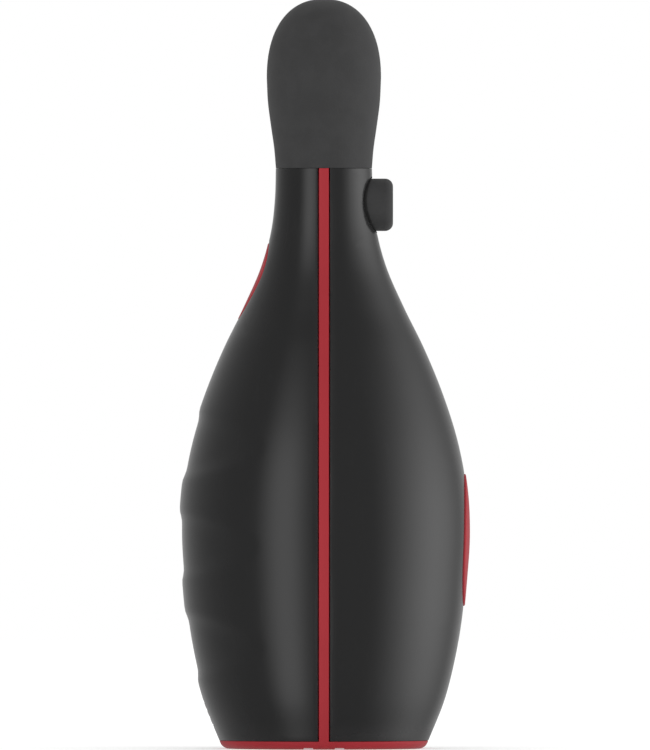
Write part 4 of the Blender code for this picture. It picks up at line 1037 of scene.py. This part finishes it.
def makeTrim(name, node, side, proud, inset):
    halfWidth, halfHeight = ovalOf(node, 0)
    height, edge = middleOf(node).z, trimShape["edge"]
    levels = [(share, 0.0, proud) for share in evenly(0, 1, trimShape["rings"])]
    levels += [(1, edge * sin(a) - edge, proud - edge * (1 - cos(a)))
               for a in evenly(0, pi / 2, trimShape["edgeSteps"])[1:]]
    # rings out to the rounding keep its width clear, then the side and the flat underneath
    levels = [(s, -edge if g == 0 and lift == proud else g, lift) for s, g, lift in levels]
    levels += [(1, 0.0, -inset)] + [(share, 0.0, -inset) for share in (0.7, 0.35)]
    count, points, faces, rings = trimShape["around"], [], [], []

    def onBody(y, z, lift):
        return (side * sqrt((bodyRadius(z) + lift) ** 2 - y * y), y, z)

    for share, grow, lift in levels:
        if share == 0:
            points.append(onBody(0, height, lift))
            rings.append([len(points) - 1] * count)
            continue
        ring = []
        for i in range(count):
            angle = 2 * pi * i / count
            y = share * (halfWidth + grow) * cos(angle)
            z = height + share * (halfHeight + grow) * sin(angle)
            points.append(onBody(y, z, lift))
            ring.append(len(points) - 1)
        rings.append(ring)
    points.append(onBody(0, height, -inset))
    rings.append([len(points) - 1] * count)
    for first, second in zip(rings, rings[1:]):
        for i in range(count):
            corners = [first[i - 1], first[i], second[i], second[i - 1]]
            corners = [c for n, c in enumerate(corners) if c != corners[n - 1]]
            faces.append(corners)
    return addPiece(name, points, faces, "red_plastic", "housing", node, smoothAngle=60)


makeTrim("rearBadge", "rear_badge", 1, 0.35 * mm, 0.85 * mm)
makeTrim("neckInlay", "neck_inlay", -1, 0.1 * mm, 0.8 * mm)


# ---- screws, contacts and the light comb, built by one node group


def newGeometryTree(name, inputs):
    group = bpy.data.node_groups.new(name, "GeometryNodeTree")
    group.interface.new_socket("Geometry", in_out="OUTPUT", socket_type="NodeSocketGeometry")
    for label, kind in inputs:
        group.interface.new_socket(label, in_out="INPUT", socket_type="NodeSocket" + kind)
    tree = NodeTree(group)
    start = group.nodes.new("NodeGroupInput")
    return tree, {label: Flow(tree, start.outputs[label]) for label, _ in inputs}


def roundedPin(tree, radius, length, rounding, sides=48, steps=32):
    # a solid from z = 0 up, with its lower edge rounded
    top = tree.node("ShaderNodeCombineXYZ", {}, {"Z": length})
    line = tree.node("GeometryNodeCurvePrimitiveLine", {}, {"Start": (0, 0, 0), "End": top})
    line = tree.node("GeometryNodeResampleCurve", {}, {"Curve": line, "Count": steps})
    along = tree.node("GeometryNodeSplineParameter", output="Length").least(rounding)
    short = rounding - along
    inset = rounding - (rounding * rounding - short * short).most(0.0) ** 0.5
    ring = tree.node("GeometryNodeCurvePrimitiveCircle", {}, {"Resolution": sides, "Radius": 1.0})
    sockets = {"Curve": line, "Profile Curve": ring, "Scale": radius - inset, "Fill Caps": True}
    return tree.node("GeometryNodeCurveToMesh", {}, sockets)


def solidBox(tree, width, depth, height, place):
    # a box whose size and place may be sockets
    size = tree.node("ShaderNodeCombineXYZ", {}, {"X": width, "Y": depth, "Z": height})
    made = tree.node("GeometryNodeMeshCube", {}, {"Size": size})
    return tree.node("GeometryNodeTransform", {}, {"Geometry": made, "Translation": place})


def merged(tree, operation, first, *others):
    made = tree.node("GeometryNodeMeshBoolean", {"operation": operation, "solver": "EXACT"})
    inputs = made.socket.node.inputs
    if operation == "DIFFERENCE":
        tree.tree.links.new(first.socket, inputs["Mesh 1"])
        others = others[::-1]
    else:
        others = (first, *others)
    for other in others:
        tree.tree.links.new(other.socket, inputs["Mesh 2"])
    return made


def finishTree(tree, geometry):
    real = tree.node("GeometryNodeRealizeInstances", {}, {"Geometry": geometry})
    painted = tree.node("GeometryNodeSetMaterial", {}, {"Geometry": real, "Material": materials["steel"]})
    tree.node("NodeGroupOutput", {}, {0: painted})
    return tree.tree


def makeFastenerTree():
    # a head, a shank and a crossed driver recess, standing up from z = 0
    labels = ("Head Radius", "Head Height", "Rounding", "Shank Radius", "Length", "Driver Width", "Driver Depth")
    tree, given = newGeometryTree("fastener", [(label, "Float") for label in labels])
    head = roundedPin(tree, given["Head Radius"], given["Head Height"], given["Rounding"])
    shank = roundedPin(tree, given["Shank Radius"], given["Length"], given["Rounding"], 32)
    lifted = tree.node("ShaderNodeCombineXYZ", {}, {"Z": given["Head Height"] * 0.5})
    shank = tree.node("GeometryNodeTransform", {}, {"Geometry": shank, "Translation": lifted})
    whole = merged(tree, "UNION", head, shank)
    slot = given["Driver Width"] * 0.28
    bars = [solidBox(tree, width, depth, given["Driver Depth"] * 2.0, (0, 0, 0))
            for width, depth in ((given["Driver Width"], slot), (slot, given["Driver Width"]))]
    return finishTree(tree, merged(tree, "DIFFERENCE", whole, *bars))


def makeCombTree():
    # a bar and a line of flat fins that reach from it to the shell
    labels = ("Pitch", "First Height", "Bar Front", "Bar Depth", "Bar Width", "Bar Height", "Fin Half Height",
              "Fin Half Width", "Rounding", "Reach", "Reach Step", "Reach Bend")
    tree, given = newGeometryTree("lightComb", [(label, "Float") for label in labels] + [("Count", "Int")])
    middle = given["Bar Front"] - given["Bar Depth"] * 0.5
    length = given["Reach"] - middle
    fin = roundedPin(tree, given["Fin Half Height"], length, given["Rounding"], 40, 24)
    turned = tree.node("GeometryNodeTransform", {}, {"Geometry": fin, "Rotation": (0, pi / 2, 0)})
    index = tree.node("GeometryNodeInputIndex")
    reach = given["Reach"] + given["Reach Step"] * index + given["Reach Bend"] * index * index
    height = given["First Height"] + given["Pitch"] * index
    spots = tree.node("GeometryNodePoints", {}, {
        "Count": given["Count"], "Position": tree.node("ShaderNodeCombineXYZ", {}, {"X": -reach, "Z": height}),
    })
    stretch = tree.node("ShaderNodeCombineXYZ", {}, {
        "X": (reach - middle) / length, "Y": given["Fin Half Width"] / given["Fin Half Height"], "Z": 1.0,
    })
    fins = tree.node("GeometryNodeInstanceOnPoints", {}, {
        "Points": spots, "Instance": turned, "Scale": stretch,
    })
    fins = tree.node("GeometryNodeRealizeInstances", {}, {"Geometry": fins})
    centre = given["First Height"] + given["Pitch"] * (given["Count"] - 1.0) * 0.5
    bar = solidBox(tree, given["Bar Depth"], given["Bar Width"], given["Bar Height"],
                   tree.node("ShaderNodeCombineXYZ", {}, {"X": -middle, "Z": centre}))
    return finishTree(tree, merged(tree, "UNION", bar, fins))


def grown(name, group, values, slot, body, *nodes, place=None):
    # the mesh that a node group makes from these values, moved to its place
    holder = bpy.data.objects.new(name, bpy.data.meshes.new(name))
    bpy.context.scene.collection.objects.link(holder)
    modifier = holder.modifiers.new("build", "NODES")
    sockets = {}
    for item in group.interface.items_tree:
        if item.in_out == "INPUT":
            sockets[item.name] = item.identifier
    modifier.node_group = group
    for label, value in values.items():
        modifier[sockets[label]] = value
    settle(holder)
    if place is not None:
        holder.data.transform(Matrix.Translation(place))
    return dressPiece(holder, slot, body, *nodes, smoothAngle=35)


screwShape = {"Head Radius": 2.2 * mm, "Head Height": 1.4 * mm, "Rounding": 0.4 * mm, "Shank Radius": 1.0 * mm,
              "Length": 5.6 * mm, "Driver Width": 2.5 * mm, "Driver Depth": 0.9 * mm}
contactShape = {"Head Radius": 1.8 * mm, "Head Height": 0.9 * mm, "Rounding": 0.35 * mm,
                "Shank Radius": 1.0 * mm, "Length": 5.8 * mm, "Driver Width": 0.5 * mm, "Driver Depth": 0.0}
fastenerTree = makeFastenerTree()
for number in (1, 2):
    for kind, shape, slot in (("base_screw", screwShape, "dark_steel"), ("charge_contact", contactShape, "brass")):
        node = f"{kind}_{number}"
        foot = Vector((middleOf(node).x, middleOf(node).y, lowOf(node).z))
        label = kind.split("_")[0] + kind.split("_")[1].capitalize() + str(number)
        grown(label, fastenerTree, shape, slot, "housing", node, place=foot)

finShape = {"halfWidth": 3.35 * mm, "halfHeight": 0.26 * mm, "inset": 0.07 * mm}
tips = [bodyRadius(lamps["first"] + number * lamps["pitch"]) - finShape["inset"] for number in range(3)]
bend = (tips[2] - 2 * tips[1] + tips[0]) / 2
combLow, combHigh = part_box("light_pipe")
combShape = {
    "Pitch": lamps["pitch"], "First Height": lamps["first"], "Count": lamps["count"],
    "Bar Front": 1 * mm - combHigh.x, "Bar Depth": 1 * mm, "Bar Width": combHigh.y - combLow.y,
    "Bar Height": combHigh.z - combLow.z, "Rounding": 0.22 * mm,
    "Fin Half Height": finShape["halfHeight"], "Fin Half Width": finShape["halfWidth"],
    "Reach": tips[0], "Reach Step": tips[1] - tips[0] - bend, "Reach Bend": bend,
}
grown("lightComb", makeCombTree(), combShape, "clear_plastic", "housing", "light_pipe")


# ---- the stage: a floor, soft lamps and a camera level with the pin

stage = {
    "floorReach": 3.0,
    "floorGlow": 0.35,
    "ambient": 0.90,
    "lens": 1400,
    "distance": 7.398,
    "aim": (0.28 * mm, 94.73 * mm),
}
# what polished faces reflect, in degrees round from the camera towards +X and up
reflectedRoom = {
    "walls": 0.15,
    "behind": 0.35,
    "behindFrom": (70, 170),
    "softboxes": (
        # brightness, turn where it starts, its brightest stretch, where it ends, fade up and fade down
        (1.78, 38, 90, 92, 141, (1, 53), (3, 55)),
        (1.28, -60, -34, -30, -5, (15, 56), (25, 60)),
    ),
}


def makeFloor():
    # seen from above only; reflections and shadows look through it, as if the pin stood in a bright room
    reach = stage["floorReach"]
    mesh = bpy.data.meshes.new("floor")
    mesh.from_pydata([(-reach, -reach, 0), (reach, -reach, 0), (reach, reach, 0), (-reach, reach, 0)], [],
                     [(0, 1, 2, 3)])
    floor = bpy.data.objects.new("floor", mesh)
    bpy.context.scene.collection.objects.link(floor)
    material, tree = newMaterial("paleFloor")
    path = tree.node("ShaderNodeLightPath")
    glossy, shadow = (Flow(tree, path.socket.node.outputs[name]) for name in ("Is Glossy Ray", "Is Shadow Ray"))
    grain = tree.noise(tree.place(), 40 * mm, 2.0)
    pale = grain.between((0.78, 0.78, 0.78), (0.82, 0.82, 0.82))
    diffuse = tree.node("ShaderNodeBsdfDiffuse", {}, {"Color": pale})
    glow = tree.node("ShaderNodeEmission", {}, {"Color": (1, 1, 1, 1), "Strength": stage["floorGlow"]})
    lit = tree.node("ShaderNodeAddShader", {}, {0: diffuse, 1: glow})
    clear = tree.node("ShaderNodeBsdfTransparent")
    back = tree.node("ShaderNodeNewGeometry", output="Backfacing")
    oneSided = tree.node("ShaderNodeMixShader", {}, {0: back.most(glossy).most(shadow), 1: lit, 2: clear})
    tree.node("ShaderNodeOutputMaterial", {}, {"Surface": oneSided})
    mesh.materials.append(material)


def ramp(value, low, high):
    return value.above((low + high) / 2, (high - low) / 2)


def makeWorld():
    # white to the camera; reflections see pale walls, brighter behind the pin, and two tall softboxes
    world = bpy.data.worlds.new("softRoom")
    bpy.context.scene.world = world
    world.use_nodes = True
    world.cycles.sampling_method = "NONE"
    tree, room = NodeTree(world.node_tree), reflectedRoom
    path = tree.node("ShaderNodeLightPath")
    camera, glossy, through = (Flow(tree, path.socket.node.outputs[name]) for name in (
        "Is Camera Ray", "Is Glossy Ray", "Is Transmission Ray"))
    x, y, z = tree.axes(tree.node("ShaderNodeTexCoord", output="Generated"))
    turn = x.maths("ARCTAN2", -y) * (180 / pi)
    rise = z.maths("ARCSINE") * (180 / pi)
    level = room["walls"] + ramp(turn.size(), *room["behindFrom"]) * room["behind"]
    for brightness, start, full, fading, end, up, down in room["softboxes"]:
        across = ramp(turn, start, full) * (1.0 - ramp(turn, fading, end))
        height = (1.0 - ramp(rise, *up)) * (1.0 - ramp(-rise, *down))
        level = level + across * height * brightness
    level = stage["ambient"] + glossy * (level - stage["ambient"])
    level = level.most(camera).most(through)
    light = tree.node("ShaderNodeBackground", {}, {"Color": (1, 1, 1, 1), "Strength": level})
    tree.node("ShaderNodeOutputWorld", {}, {"Surface": light})


def addLamp(name, angle, distance, height, width, tall, luminance):
    # a square lamp that faces the pin; angle is measured from the camera round towards +X
    data = bpy.data.lights.new(name, "AREA")
    data.shape, data.size, data.size_y = "RECTANGLE", width, tall
    data.energy = luminance * pi * width * tall
    lamp = bpy.data.objects.new(name, data)
    lamp.location = (distance * sin(angle), -distance * cos(angle), height)
    aim = Vector((0, 0, 95 * mm)) - lamp.location
    lamp.rotation_euler = aim.to_track_quat("-Z", "Y").to_euler()
    lamp.visible_camera = lamp.visible_glossy = False
    bpy.context.scene.collection.objects.link(lamp)


def addCamera():
    data = bpy.data.cameras.new("camera")
    data.lens, data.sensor_width, data.clip_end = stage["lens"], 36, 20
    camera = bpy.data.objects.new("camera", data)
    camera.location = (stage["aim"][0], -stage["distance"], stage["aim"][1])
    camera.rotation_euler = (pi / 2, 0, 0)
    bpy.context.scene.collection.objects.link(camera)
    bpy.context.scene.camera = camera


makeFloor()
makeWorld()
addLamp("keyRight", radians(80), 1.6, 0.35, 1.9, 1.5, 0.72)
addLamp("fillLeft", radians(-32), 1.7, 0.35, 0.9, 1.5, 0.30)
addCamera()
bpy.context.scene.view_settings.view_transform = "Standard"
print("stage: floor, world,", len(bpy.data.lights), "lamps")
